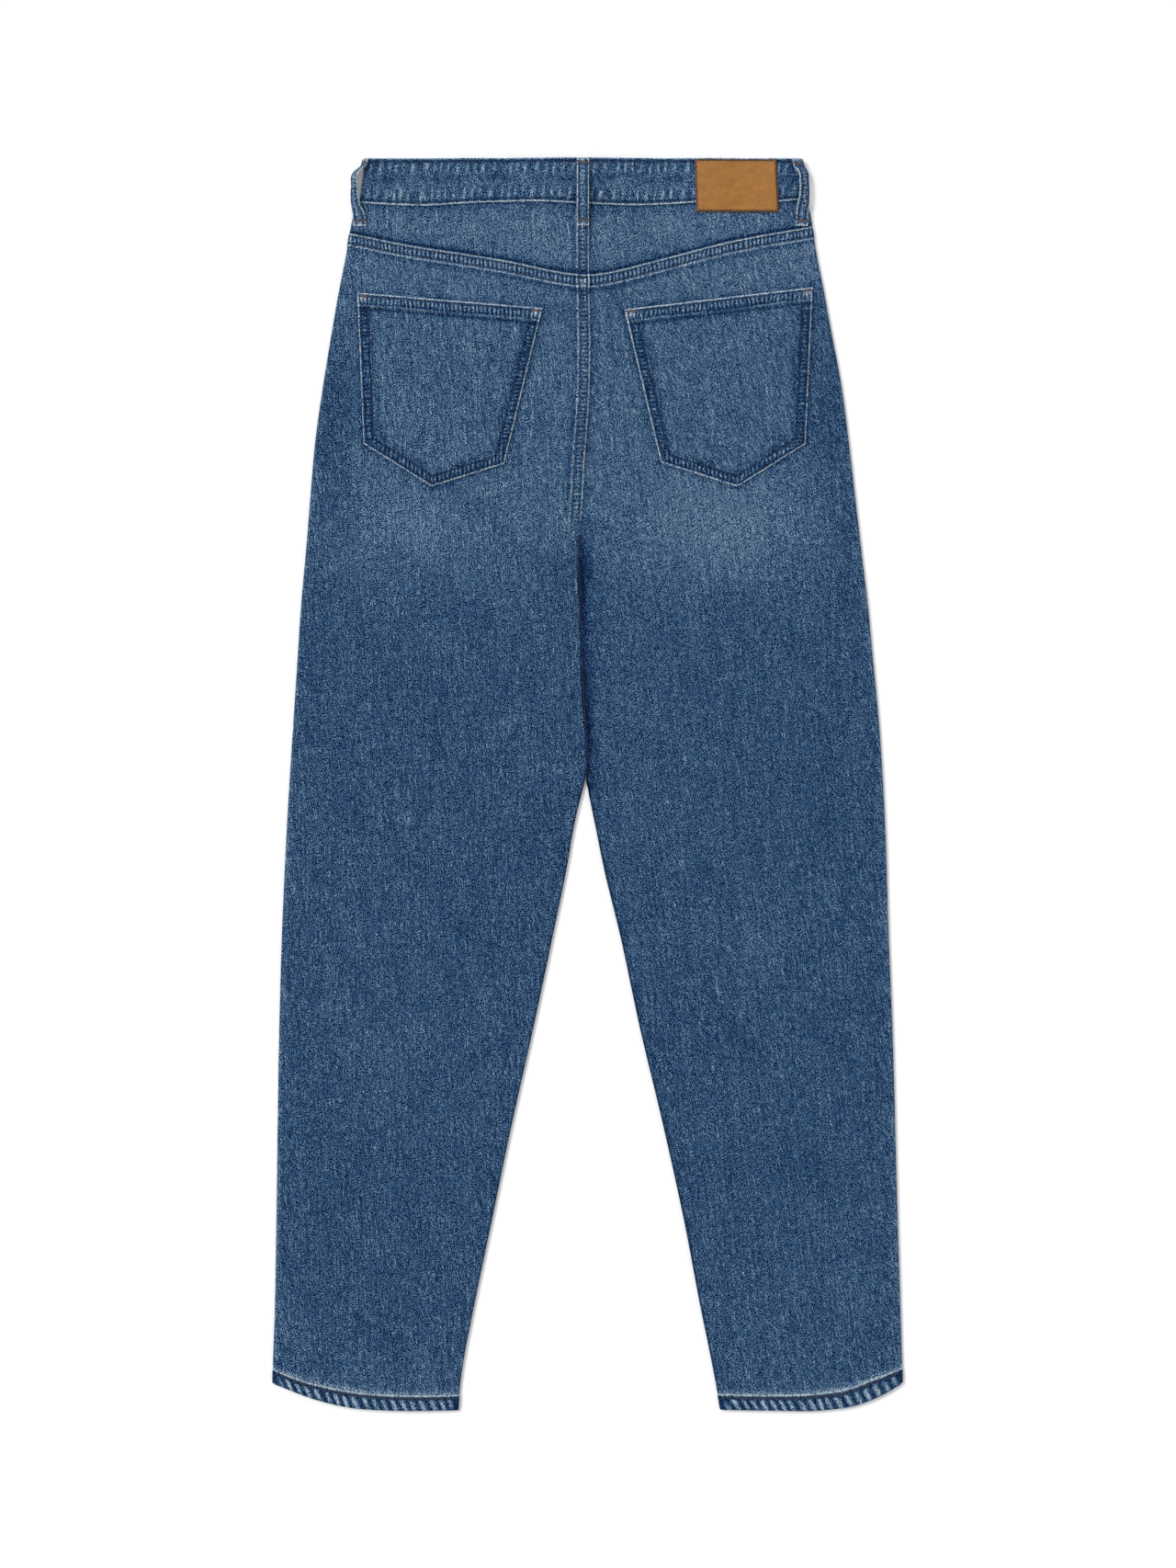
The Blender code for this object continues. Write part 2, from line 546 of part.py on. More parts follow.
def add_hem(name, side):
    # A ring of turned cloth round the end of a leg, its back roped by the sewing.
    radius = FOLD_RADIUS + HEM_PROUD / 2
    wall = CLOTH + HEM_PROUD
    along = np.linspace(0, 1, 4 * HEM_WAVES + 1)
    front_along = np.linspace(1, 0, 9)[1:-1]
    outside, inside = [], []
    for depth, swell in ((0.0, 0.35), (0.3, 1.0), (0.75, 1.0), (1.0, 0.35)):

        def down_at(share):
            line = follow(HEM_LINE[side], "share", share, "down")
            return line + (follow(HEM_EDGE[side], "share", share, "down") - line) * depth

        inner_down, outer_down = float(down_at(0.0)), float(down_at(1.0))
        leg_inner = float(inner_edge(side, inner_down))
        leg_outer = float(outer_edge(side, outer_down))
        inner_x, outer_x = leg_inner - side * HEM_PROUD / 2, leg_outer + side * HEM_PROUD / 2
        first, last = inner_x + side * radius, outer_x - side * radius
        x = first + (last - first) * along
        down = down_at((x - leg_inner) / (leg_outer - leg_inner))
        front_x = first + (last - first) * front_along
        front_down = down_at((front_x - leg_inner) / (leg_outer - leg_inner))
        body = back_height(side, x, down)
        turns = HEM_WAVES * along - HEM_WAVES * HEM_SLANT * depth / (last - first)
        ends = np.sin(np.pi / 2 * np.clip(np.minimum(along, 1 - along) * HEM_WAVES, 0, 1))
        puff = HEM_WAVE_HEIGHT * swell * ends * (0.5 + 0.5 * np.cos(2 * np.pi * turns))
        outer_out, outer_in = fold(outer_x, side, radius, wall)
        inner_out, inner_in = fold(inner_x, -side, radius, wall)
        outside.append(np.concatenate([
            place(x, down, body + HEM_PROUD + puff),
            place(outer_out[0, 1:], outer_down, outer_out[1, 1:]),
            place(front_x, front_down, 0.0),
            place(inner_out[0, :0:-1], inner_down, inner_out[1, :0:-1])]))
        inside.append(np.concatenate([
            place(x, down, body - CLOTH),
            place(outer_in[0, 1:], outer_down, outer_in[1, 1:]),
            place(front_x, front_down, wall),
            place(inner_in[0, :0:-1], inner_down, inner_in[1, :0:-1])]))
    add_wall(name, np.array(outside), np.array(inside), DENIM_FADED, ring=True)


def band_height(x, down):
    # Upper face of the waistband, carried on below it.
    return 2 * BAND_RADIUS + stack(x, down)


def add_strip(name, under_edges, wall, look):
    # A band of cloth between two long edges of its lower face, slightly crowned.
    first, second = under_edges
    middle = (first + second) / 2
    under = np.stack([first, middle, second], axis=1)
    across = second - first
    forward = np.gradient(middle, axis=0)
    normal = np.cross(across, forward)
    normal = normal / np.linalg.norm(normal, axis=1)[:, None]
    normal = normal * np.sign(normal[:, 2:3])
    crown = np.array([0, 0.25, 0])
    over = under + normal[:, None, :] * (wall + crown)[None, :, None]
    add_wall(name, over, under, look)


def add_center_loop(name):
    down, gap = CENTER_LOOP["down"], CENTER_LOOP["gap"]
    base = band_height(CENTER_LOOP_X, down)
    edges = [place(CENTER_LOOP_X + offset, down, base + gap) for offset in (-LOOP_HALF, LOOP_HALF)]
    add_strip(name, edges, LOOP_WALL, DENIM_FADED)


def add_side_loop(name, side):
    rows = SIDE_LOOPS[side]
    toward_middle = place(rows["x1"], rows["down"], rows["z1"])
    outward = place(rows["x2"], rows["down"], rows["z2"])
    add_strip(name, (toward_middle, outward), LOOP_WALL, DENIM_FADED)


def add_front_loop(name, side):
    # Pressed flat under the front of the waistband.
    down = np.array([0.6, 14, 28, 42, LOOP_LENGTH])
    x = side * FRONT_LOOP_X + np.array([-LOOP_HALF, LOOP_HALF])
    under = place(x[None, :], down[:, None], 0.0)
    add_wall(name, under, under + np.array([0, 0, FRONT_LOOP_WALL]), DENIM_FADED)


def add_patch(name):
    # Leather over the waistband, its lower edge reaching onto the yoke.
    x, down = PATCH_CORNERS["x"], PATCH_CORNERS["down"]
    across = np.linspace(0, 1, 7)[None, :]
    rows = np.linspace(0, 1, 4)[:, None]
    grid_x = (x[0] + (x[1] - x[0]) * across) * (1 - rows) + (x[3] + (x[2] - x[3]) * across) * rows
    grid_down = down[0] + (down[3] - down[0]) * rows + 0 * across
    under = band_height(grid_x, grid_down) + PATCH_GAP
    over = under + PATCH_WALL
    add_wall(name, place(grid_x, grid_down, over), place(grid_x, grid_down, under), LEATHER)


def add_zip(tape_name, slider_name):
    # Closed zip between the fly and the back, with its slider at the top, its pull lying down.
    levels = np.array([FRONT_TOP + 3, 55, 75, 110, ZIP_END])[:, None]
    offsets = np.array([-ZIP_HALF, -CHAIN_HALF - 0.3, -CHAIN_HALF, CHAIN_HALF, CHAIN_HALF + 0.3, ZIP_HALF])
    x = FLY_EDGE + offsets[None, :] + 0 * levels
    base = CLOTH + SEAM_GAP + front_bumps(x, levels)
    raised = CHAIN_RAISE * (np.abs(offsets) <= CHAIN_HALF)[None, :]
    down = levels + 0 * x
    add_wall(tape_name, place(x, down, base + TAPE_WALL + raised), place(x, down, base), TAPE)

    stations = table("down half thick", [
        (44, 2.5, 1.2), (46, 4.5, 1.6), (56, 4.5, 1.6), (57, 2.5, 1.0), (60, 2.5, 1.0),
        (62, 3.5, 1.0), (80, 3.5, 1.0), (82, 2.5, 0.8)])
    down = stations["down"][:, None]
    x = FLY_EDGE + stations["half"][:, None] * np.array([-1, 1])[None, :]
    seat = CLOTH + SEAM_GAP + TAPE_WALL + CHAIN_RAISE + SEAM_GAP
    under = seat + front_bumps(x, down)
    over = under + stations["thick"][:, None]
    down = down + 0 * x
    add_wall(slider_name, place(x, down, over), place(x, down, under), BRASS)


def add_button(name):
    # A turned disc under the overlapping end of the band, face down.
    sides = 24
    turn = 2 * np.pi * np.arange(sides) / sides
    profile = [
        (BUTTON_RADIUS - 1.2, 0.0), (BUTTON_RADIUS, 0.8), (BUTTON_RADIUS, 1.7),
        (BUTTON_RADIUS - 1.0, BUTTON_HIGH)]
    rings = [
        place(BUTTON_X + radius * np.cos(turn), BUTTON_DOWN - radius * np.sin(turn), z)
        for radius, z in profile]
    points = np.concatenate(rings)
    faces = [list(range(sides))[::-1], [sides * (len(profile) - 1) + k for k in range(sides)]]
    for ring in range(len(profile) - 1):
        for k in range(sides):
            after = (k + 1) % sides
            low, high = ring * sides, (ring + 1) * sides
            faces.append([low + k, low + after, high + after, high + k])
    add_node(name, points, faces, BRASS)


def stand_on_origin():
    # Centres the garment over the origin, its lowest point at height zero.
    nodes = [node for node in bpy.context.scene.objects if node.type == "MESH"]
    corners = []
    for node in nodes:
        flat = np.empty(len(node.data.vertices) * 3)
        node.data.vertices.foreach_get("co", flat)
        corners.append(flat.reshape(-1, 3))
    low = np.min([points.min(axis=0) for points in corners], axis=0)
    high = np.max([points.max(axis=0) for points in corners], axis=0)
    shift = np.array([(low[0] + high[0]) / 2, (low[1] + high[1]) / 2, low[2]])
    for node, points in zip(nodes, corners):
        node.data.vertices.foreach_set("co", (points - shift).ravel())
        node.data.update()


def build():
    for thing in list(bpy.data.objects):
        bpy.data.objects.remove(thing, do_unlink=True)
    for side, word in ((LEFT, "left"), (RIGHT, "right")):
        add_back("back_" + word, side)
        add_yoke("yoke_" + word, side)
        add_front("front_" + word, side)
        add_facing("facing_" + word, side)
        add_pocket("pocket_" + word, side)
        add_hem("hem_" + word, side)
        add_side_loop("loop_back_" + word, side)
        add_front_loop("loop_front_" + word, side)
    add_waistband("waistband")
    add_center_loop("loop_center")
    add_patch("patch")
    add_zip("zip_tape", "zip_slider")
    add_button("button")
    stand_on_origin()


build()
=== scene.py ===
# Jeans laid flat on their front, back up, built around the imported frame.
# Shapes are worked out in millimetres: x across, down from the top edge of the waist, z up.
# Side is -1 for the leg at -X and 1 for the other. "Inner" is toward the other leg.

import bpy
import numpy as np
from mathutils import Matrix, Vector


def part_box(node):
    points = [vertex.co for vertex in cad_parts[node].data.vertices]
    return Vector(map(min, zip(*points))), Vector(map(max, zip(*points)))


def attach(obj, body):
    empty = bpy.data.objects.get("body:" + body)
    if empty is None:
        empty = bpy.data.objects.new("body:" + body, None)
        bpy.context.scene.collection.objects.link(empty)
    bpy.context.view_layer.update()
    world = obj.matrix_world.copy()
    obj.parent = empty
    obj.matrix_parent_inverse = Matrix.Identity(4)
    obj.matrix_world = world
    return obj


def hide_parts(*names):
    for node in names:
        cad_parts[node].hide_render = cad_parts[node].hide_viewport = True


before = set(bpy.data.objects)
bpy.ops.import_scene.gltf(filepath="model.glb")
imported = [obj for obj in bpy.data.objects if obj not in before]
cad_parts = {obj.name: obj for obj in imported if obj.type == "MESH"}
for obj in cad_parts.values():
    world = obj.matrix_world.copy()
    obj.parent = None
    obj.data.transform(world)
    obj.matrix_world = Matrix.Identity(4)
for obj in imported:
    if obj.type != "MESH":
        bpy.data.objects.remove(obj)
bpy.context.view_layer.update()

left, right = -1, 1
sideNames = {left: "left", right: "right"}
millimetre = 0.001


def pair(build):
    # What a function builds for each side.
    return {side: build(side) for side in (left, right)}


button = {"x": -10.0, "down": 19.0, "lift": 2.7, "flat": 11.0, "fall": 50.0}
buttonLow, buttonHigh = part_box("button")
xShift = (buttonLow.x + buttonHigh.x) / 2 / millimetre - button["x"]     # from the frame
waistY = (buttonLow.y + buttonHigh.y) / 2 / millimetre + button["down"]


# Shared small tools

def table(columns, rows):
    # One array for each named column.
    return dict(zip(columns.split(), np.array(rows, float).T))


def smooth(share):
    # Eases from 0 to 1: 3s^2 - 2s^3.
    share = np.clip(share, 0, 1)
    return share * share * (3 - 2 * share)


def bell(away, width):
    # 1 at zero, falling off as exp(-(away / width)^2).
    return np.exp(-(np.asarray(away) / width) ** 2)


def follow(rows, key, at, column):
    # A smooth curve through the rows of a table: cubic pieces with matching slopes.
    places, values = rows[key], rows[column]
    slopes = np.gradient(values, places)
    at = np.clip(at, places[0], places[-1])
    start = np.clip(np.searchsorted(places, at) - 1, 0, len(places) - 2)
    width = places[start + 1] - places[start]
    t = (at - places[start]) / width
    hold = (2 * t**3 - 3 * t**2 + 1) * values[start] + (3 * t**2 - 2 * t**3) * values[start + 1]
    turn = (t**3 - 2 * t**2 + t) * slopes[start] + (t**3 - t**2) * slopes[start + 1]
    return hold + turn * width


def unevenWaves(along, lengths, seed):
    # The mean of sines of nearby wavelengths, each starting at its own place, from -1 to 1.
    starts = np.random.default_rng(seed).uniform(0, 2 * np.pi, len(lengths))
    waves = [np.sin(2 * np.pi * along / length + start) for length, start in zip(lengths, starts)]
    return sum(waves) / len(waves)


# Outline of the garment

outerFold = {
    left: table("down x", [
        (38.6, -194.6), (48, -199.2), (60, -202.0), (80, -205.3), (110, -211.2),
        (150, -218.2), (190, -224.7), (240, -231.8), (290, -236.2), (330, -239.4),
        (380, -243.9), (430, -247.2), (480, -250.5), (560, -255.5), (660, -260.2),
        (740, -262.4), (900, -264.8), (980, -266.3), (1027, -267.9), (1063, -268.3)]),
    right: table("down x", [
        (35.0, 185.6), (48, 189.2), (60, 190.8), (80, 194.0), (110, 199.9),
        (150, 207.3), (190, 214.8), (240, 221.5), (290, 227.3), (330, 231.9),
        (380, 237.8), (430, 242.6), (480, 247.3), (560, 252.2), (660, 255.5),
        (740, 258.7), (900, 263.1), (980, 265.6), (1027, 267.0), (1063, 268.3)]),
}
innerFold = {
    left: table("down x", [
        (322, -7.0), (350, -7.4), (390, -6.0), (430, -5.0), (480, -2.2), (501, -1.0),
        (524, -1.8), (536, -4.5), (552, -8.6), (567, -11.9), (600, -17.6), (660, -29.9),
        (740, -46.8), (820, -64.7), (900, -81.3), (980, -97.9), (1020, -105.6),
        (1045, -109.0), (1063, -110.0)]),
    right: table("down x", [
        (322, -6.4), (430, -4.5), (501, -0.4), (524, -0.9), (536, 0.0), (552, 3.1),
        (567, 6.2), (600, 12.8), (660, 27.3), (740, 44.4), (820, 63.5), (900, 81.1),
        (980, 96.4), (1020, 104.6), (1045, 109.3), (1063, 112.3)]),
}
centerSeam = table("down x", [
    (35, 0.9), (100, 1.2), (170, 2.0), (216, 0.5), (250, -2.3), (285, -4.2), (322, -7.0)])
bandEdge = table("x down", [
    (-194.6, 38.0), (-143, 40.2), (-91, 37.8), (-41, 37.1), (2, 39.4), (42, 40.2),
    (91, 37.8), (163, 36.6), (185, 35.0), (187, 35.0)])
yokeSeam = {
    left: table("share down", [
        (0, 99.0), (0.05, 98.6), (0.14, 96.0), (0.33, 87.8), (0.54, 80.6), (0.75, 74.0),
        (1, 63.6)]),
    right: table("share down", [
        (0, 99.0), (0.05, 98.0), (0.12, 95.6), (0.33, 85.4), (0.64, 70.4), (1, 57.9)]),
}
hemLine = {
    left: table("share down", [
        (0, 1049.5), (0.26, 1050.0), (0.51, 1047.9), (0.67, 1044.0), (0.83, 1037.8),
        (1, 1027.7)]),
    right: table("share down", [
        (0, 1048.9), (0.28, 1049.5), (0.52, 1048.3), (0.72, 1043.2), (0.84, 1035.9),
        (1, 1026.6)]),
}
hemEdge = {
    left: table("share down", [
        (0, 1062.8), (0.38, 1062.9), (0.59, 1060.4), (0.75, 1054.6), (1, 1040.1)]),
    right: table("share down", [
        (0, 1062.4), (0.28, 1063.0), (0.56, 1062.8), (0.76, 1057.9), (0.92, 1047.2),
        (1, 1039.6)]),
}

cloth = {
    "wall": 1.2, "gap": 0.3, "foldRadius": 2.2, "lip": 13.0, "settle": 22.0,
    "crotch": 322.0, "apart": 0.15, "rowStep": 3.3, "columnStep": 2.6, "seamLevel": 84.0,
    "hemLevel": 1043.0,
}


def outerEdge(side, down):
    return follow(outerFold[side], "down", down, "x")


def foldLine(side, down):
    # The fold of the inseam, carried on upward beside the centre seam.
    return follow(innerFold[side], "down", down, "x")


def innerEdge(side, down):
    # The centre seam above the crotch, and the fold of the inseam below it.
    seam = follow(centerSeam, "down", down, "x") + (cloth["gap"] if side == right else 0)
    fold = foldLine(side, down)
    if side == right:
        other = foldLine(left, down) + cloth["apart"]
        together = 1 - smooth((np.asarray(down) - 522) / 14)
        fold = np.maximum(fold + (other - fold) * together, other)
    return np.where(np.asarray(down) < cloth["crotch"], seam, fold)


# Heights: what lies beneath, large folds, and the small ripples of each seam

lift = {"underlap": 2.3, "center": -8.0, "flat": 36.0, "fall": 60.0, "end": 45.0, "settle": 90.0}
frontLoop = {"x": 101.0, "half": 5.1, "length": 57.0, "wall": 1.2, "lift": 1.5, "flat": 7.0, "fall": 25.0}
swell = table("down height", [
    (35, 0.2), (110, 0.7), (200, 0.9), (320, 1.1), (500, 1.2), (700, 0.9), (860, 1.2),
    (1000, 0.8), (1063, 0.4)])

# Folds of the back: a line from start to end, its half width and its height
largeFolds = {
    left: table("x1 down1 x2 down2 wide high", [
        (-132, 292, -40, 352, 20, -0.7),
        (-150, 330, -75, 375, 26, 0.6),
        (-215, 470, -120, 560, 30, -0.6),
        (-120, 640, -170, 780, 30, 0.5),
        (-225, 850, -165, 960, 26, -0.5)]),
    right: table("x1 down1 x2 down2 wide high", [
        (80, 300, 135, 330, 28, 0.8),
        (25, 345, 75, 410, 22, -0.6),
        (60, 520, 170, 600, 30, 0.5),
        (90, 720, 165, 770, 26, -0.6),
        (210, 830, 170, 950, 28, 0.5)]),
}
smallFolds = {
    left: table("x1 down1 x2 down2 wide high", [
        (-98, 284, -28, 340, 7, -0.45),
        (-60, 332, -14, 368, 6, 0.4),
        (-230, 300, -190, 372, 9, 0.35),
        (-212, 96, -176, 112, 5, -0.3),
        (-34, 120, -20, 190, 7, -0.3),
        (-205, 420, -168, 520, 10, 0.3),
        (-96, 430, -52, 530, 9, -0.28),
        (-140, 590, -92, 690, 11, 0.3),
        (-235, 640, -205, 760, 9, -0.26),
        (-90, 760, -140, 842, 10, 0.32),
        (-190, 800, -150, 880, 8, -0.3),
        (-245, 900, -205, 1010, 9, 0.28),
        (-130, 930, -165, 1020, 8, -0.3)]),
    right: table("x1 down1 x2 down2 wide high", [
        (66, 292, 22, 342, 7, -0.4),
        (120, 298, 176, 330, 8, -0.35),
        (10, 330, 44, 378, 6, 0.35),
        (208, 210, 202, 320, 6, -0.35),
        (196, 96, 168, 108, 5, -0.3),
        (60, 420, 96, 530, 9, 0.3),
        (200, 440, 160, 560, 10, -0.3),
        (110, 610, 160, 700, 9, 0.35),
        (56, 716, 176, 742, 10, -0.35),
        (206, 700, 190, 812, 9, 0.28),
        (140, 838, 200, 872, 9, -0.35),
        (120, 880, 170, 990, 10, 0.3),
        (236, 900, 214, 1010, 8, -0.26)]),
}


def frontBumps(x, down):
    # The button and two belt loops beneath the front lift the layers above them.
    away = np.hypot(x - button["x"], down - button["down"])
    height = button["lift"] * (1 - smooth((away - button["flat"]) / button["fall"]))
    along = 1 - smooth((down - frontLoop["length"] - 2) / frontLoop["fall"])
    for loopX in (-frontLoop["x"], frontLoop["x"]):
        beside = np.abs(x - loopX) - frontLoop["flat"]
        height = height + frontLoop["lift"] * (1 - smooth(beside / frontLoop["fall"])) * along
    return height


def stack(x, down):
    # Lift of the back where the ends of the band overlap beneath it.
    over = 1 - smooth((np.abs(x - lift["center"]) - lift["flat"]) / lift["fall"])
    fade = 1 - smooth((down - lift["end"]) / lift["settle"])
    return lift["underlap"] * over * fade + frontBumps(x, down)


def foldsAt(rows, x, down):
    # Sum of ridges and troughs: height times exp(-(off / width)^2 - ends^2) for each line.
    total = 0
    for i in range(len(rows["x1"])):
        line = np.array([rows["x2"][i] - rows["x1"][i], rows["down2"][i] - rows["down1"][i]])
        length = np.hypot(*line)
        line = line / length
        along = (x - rows["x1"][i]) * line[0] + (down - rows["down1"][i]) * line[1]
        off = (x - rows["x1"][i]) * line[1] - (down - rows["down1"][i]) * line[0]
        ends = np.maximum(np.abs(along - length / 2) - length / 4, 0) / (length / 4)
        total = total + rows["high"][i] * np.exp(-(off / rows["wide"][i]) ** 2 - ends**2)
    return total


felled = {
    "raise": 0.8, "width": 9.5, "slope": 2.0, "edge": 0.9, "rows": (1.9, 8.3),
    "sunk": 0.2, "ripple": 0.16, "rippleLengths": (7.3, 9.6, 12.1),
}


def felledProfile(away):
    # Across a felled seam: a rounded folded edge, two rows sunk by the sewing, a slope at the end.
    edge = smooth(away / felled["edge"])
    end = 1 - smooth((away - felled["width"]) / felled["slope"])
    sunk = sum(bell(away - row, 0.8) for row in felled["rows"])
    return np.where(away < 0, 0, felled["raise"] * edge * end - felled["sunk"] * sunk)


def yokeSeamDown(side, x):
    # How far down the yoke seam lies at x.
    innerX = float(innerEdge(side, yokeSeam[side]["down"][0]))
    outerX = float(outerEdge(side, yokeSeam[side]["down"][-1]))
    return follow(yokeSeam[side], "share", (x - innerX) / (outerX - innerX), "down")


def seamDistances(side, x, down):
    # Distance below the yoke seam, and to the centre seam, which only counts above the crotch.
    return down - yokeSeamDown(side, x), np.abs(x - follow(centerSeam, "down", down, "x"))


def clothHeight(side, x, down):
    # Upper face of the back: level with the folds at its edges, swelling and creased between them.
    fromOuter = np.abs(outerEdge(side, down) - x) - cloth["foldRadius"]
    rise = smooth(fromOuter / cloth["settle"])
    apart = smooth((down - cloth["crotch"] + 70) / 70)
    fromInner = np.abs(x - foldLine(side, down)) - cloth["foldRadius"]
    rise = rise * (1 - apart * (1 - smooth(fromInner / cloth["settle"])))
    body = follow(swell, "down", down, "height") + foldsAt(largeFolds[side], x, down)
    return 2 * cloth["foldRadius"] + rise * (body + foldsAt(smallFolds[side], x, down)) + stack(x, down)


def seamRipples(side, x, down):
    # The sewing draws the cloth in: ripples across the yoke seam and the centre seam.
    below, beside = seamDistances(side, x, down)
    seat = 1 - smooth((down - cloth["crotch"] + 30) / 30)
    across = unevenWaves(x, felled["rippleLengths"], 11 + side)
    along = unevenWaves(down, felled["rippleLengths"], 21)
    nearYoke = bell(np.abs(below - 5), 11)
    nearCenter = bell(beside - 4, 10) * seat
    return felled["ripple"] * (across * nearYoke + along * nearCenter)


def backTop(side, x, down):
    # The back panel with its felled seams: along the yoke, and on the left one along the centre.
    below, beside = seamDistances(side, x, down)
    raised = felledProfile(below)
    if side == left:
        seat = 1 - smooth((down - cloth["crotch"] + 60) / 45)
        raised = np.maximum(raised, felledProfile(beside) * seat)
    return clothHeight(side, x, down) + raised + seamRipples(side, x, down)


def yokeTop(side, x, down):
    _, beside = seamDistances(side, x, down)
    raised = felledProfile(beside) if side == left else 0
    return clothHeight(side, x, down) + raised + seamRipples(side, x, down)


# Wash: how light the dye has worn, with painted shadow in some patches. 0.35 is a leg, and 0.45 the seat.

washByDepth = table("down light", [
    (0, 0.44), (60, 0.47), (120, 0.45), (220, 0.44), (300, 0.44), (345, 0.41), (385, 0.36),
    (430, 0.35), (560, 0.345), (700, 0.345), (850, 0.34), (960, 0.345), (1020, 0.36),
    (1063, 0.38)])

# Soft patches that are lighter or darker than that. The dark ones beside the belt loops near the top,
# along the crease from the left pocket's point to the crotch, and in the crease between the legs
# are painted shadow; the long strips down the outer edges of the hips are just darker.
washAndShadowPatches = table("x down wide long turn light", [
    (-148, 322, 48, 34, 0, 0.035), (104, 318, 42, 34, 0, 0.085), (150, 300, 40, 26, 0, 0.04),
    (-78, 312, 62, 9, -38, -0.06), (-20, 345, 30, 20, -35, -0.03), (216, 200, 14, 110, 2, -0.075),
    (-222, 200, 12, 100, -4, -0.04), (225, 330, 18, 90, 0, -0.05), (-232, 340, 14, 90, 0, -0.03),
    (-186, 20, 14, 26, 0, -0.06), (176, 20, 12, 26, 0, -0.06), (-14, 24, 8, 24, 0, -0.05),
    (8, 24, 8, 24, 0, -0.05), (-30, 122, 12, 14, 0, -0.05), (24, 124, 12, 14, 0, -0.06),
    (144, 669, 32, 44, -10, 0.03), (112, 741, 66, 26, 4, -0.03), (171, 860, 26, 20, 0, -0.03),
    (-168, 775, 38, 42, 0, 0.03), (-120, 470, 40, 70, 8, -0.015), (60, 480, 36, 60, 0, 0.012),
    (-210, 640, 30, 70, 0, 0.015), (-60, 620, 24, 60, 20, -0.015), (210, 560, 26, 80, 0, -0.02),
    (-180, 930, 50, 50, 0, -0.015), (190, 960, 40, 50, 0, 0.015), (-3, 352, 12, 30, 0, -0.08),
    (-60, 60, 40, 14, 0, 0.02), (70, 62, 40, 14, 0, 0.02), (90, 80, 60, 10, 16, 0.02),
    (199, 215, 16, 95, 0, -0.1), (-214, 225, 18, 95, 0, -0.11)])


def washAndShadow(x, down):
    # The depth's lightness plus each patch: light * exp(-(u / wide)^2 - (v / long)^2).
    total = follow(washByDepth, "down", down, "light")
    for i in range(len(washAndShadowPatches["x"])):
        turn = np.radians(washAndShadowPatches["turn"][i])
        acrossX, acrossDown = x - washAndShadowPatches["x"][i], down - washAndShadowPatches["down"][i]
        u = acrossX * np.cos(turn) - acrossDown * np.sin(turn)
        v = acrossX * np.sin(turn) + acrossDown * np.cos(turn)
        total = total + washAndShadowPatches["light"][i] * bell(u, washAndShadowPatches["wide"][i]) * bell(
            v, washAndShadowPatches["long"][i])
    return total


def seamRubbed(away):
    # Worn white along the folded edge of a felled seam, and faintly along its far side.
    return 1.1 * bell(away - 0.55, 0.75) + 0.75 * bell(away - 10.2, 0.7)


def seamRowsAndShadow(away):
    # Dark rows where a felled seam is sewn, and painted shadow on the cloth on either side of it.
    rows = 0.32 * bell(away - 2.1, 1.0) + 0.34 * bell(away - 8.4, 1.0)
    beyond = 0.34 * bell(away + 1.4, 1.4) + 0.20 * bell(away - 12.4, 1.8)
    return -rows - beyond - 0.03 * bell(away - 5.2, 3.2)


# Meshes

def toWorld(points):
    # Millimetres in x, down, z become metres in the frame.
    scaled = np.empty(points.shape)
    scaled[..., 0] = (points[..., 0] + xShift) * millimetre
    scaled[..., 1] = (waistY - points[..., 1]) * millimetre
    scaled[..., 2] = points[..., 2] * millimetre
    return scaled


def place(x, down, z):
    return np.stack(np.broadcast_arrays(x, down, z), axis=-1).astype(float)


def addMesh(name, points, faces, material, marks=None, sharp=50):
    # One piece from points in millimetres, with its marks as attributes of its points.
    mesh = bpy.data.meshes.new(name)
    mesh.vertices.add(len(points))
    mesh.vertices.foreach_set("co", toWorld(points).astype(np.float32).ravel())
    sides = faces.shape[1]
    mesh.loops.add(faces.size)
    mesh.loops.foreach_set("vertex_index", faces.astype(np.int32).ravel())
    mesh.polygons.add(len(faces))
    mesh.polygons.foreach_set("loop_start", np.arange(len(faces), dtype=np.int32) * sides)
    mesh.update(calc_edges=True)
    mesh.validate()
    for key, values in (marks or {}).items():
        attribute = mesh.attributes.new(key, "FLOAT", "POINT")
        attribute.data.foreach_set("value", values.astype(np.float32))
    mesh.shade_smooth()
    mesh.set_sharp_from_angle(angle=np.radians(sharp))
    mesh.materials.append(material)
    piece = bpy.data.objects.new(name, mesh)
    bpy.context.scene.collection.objects.link(piece)
    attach(piece, "root")
    return piece


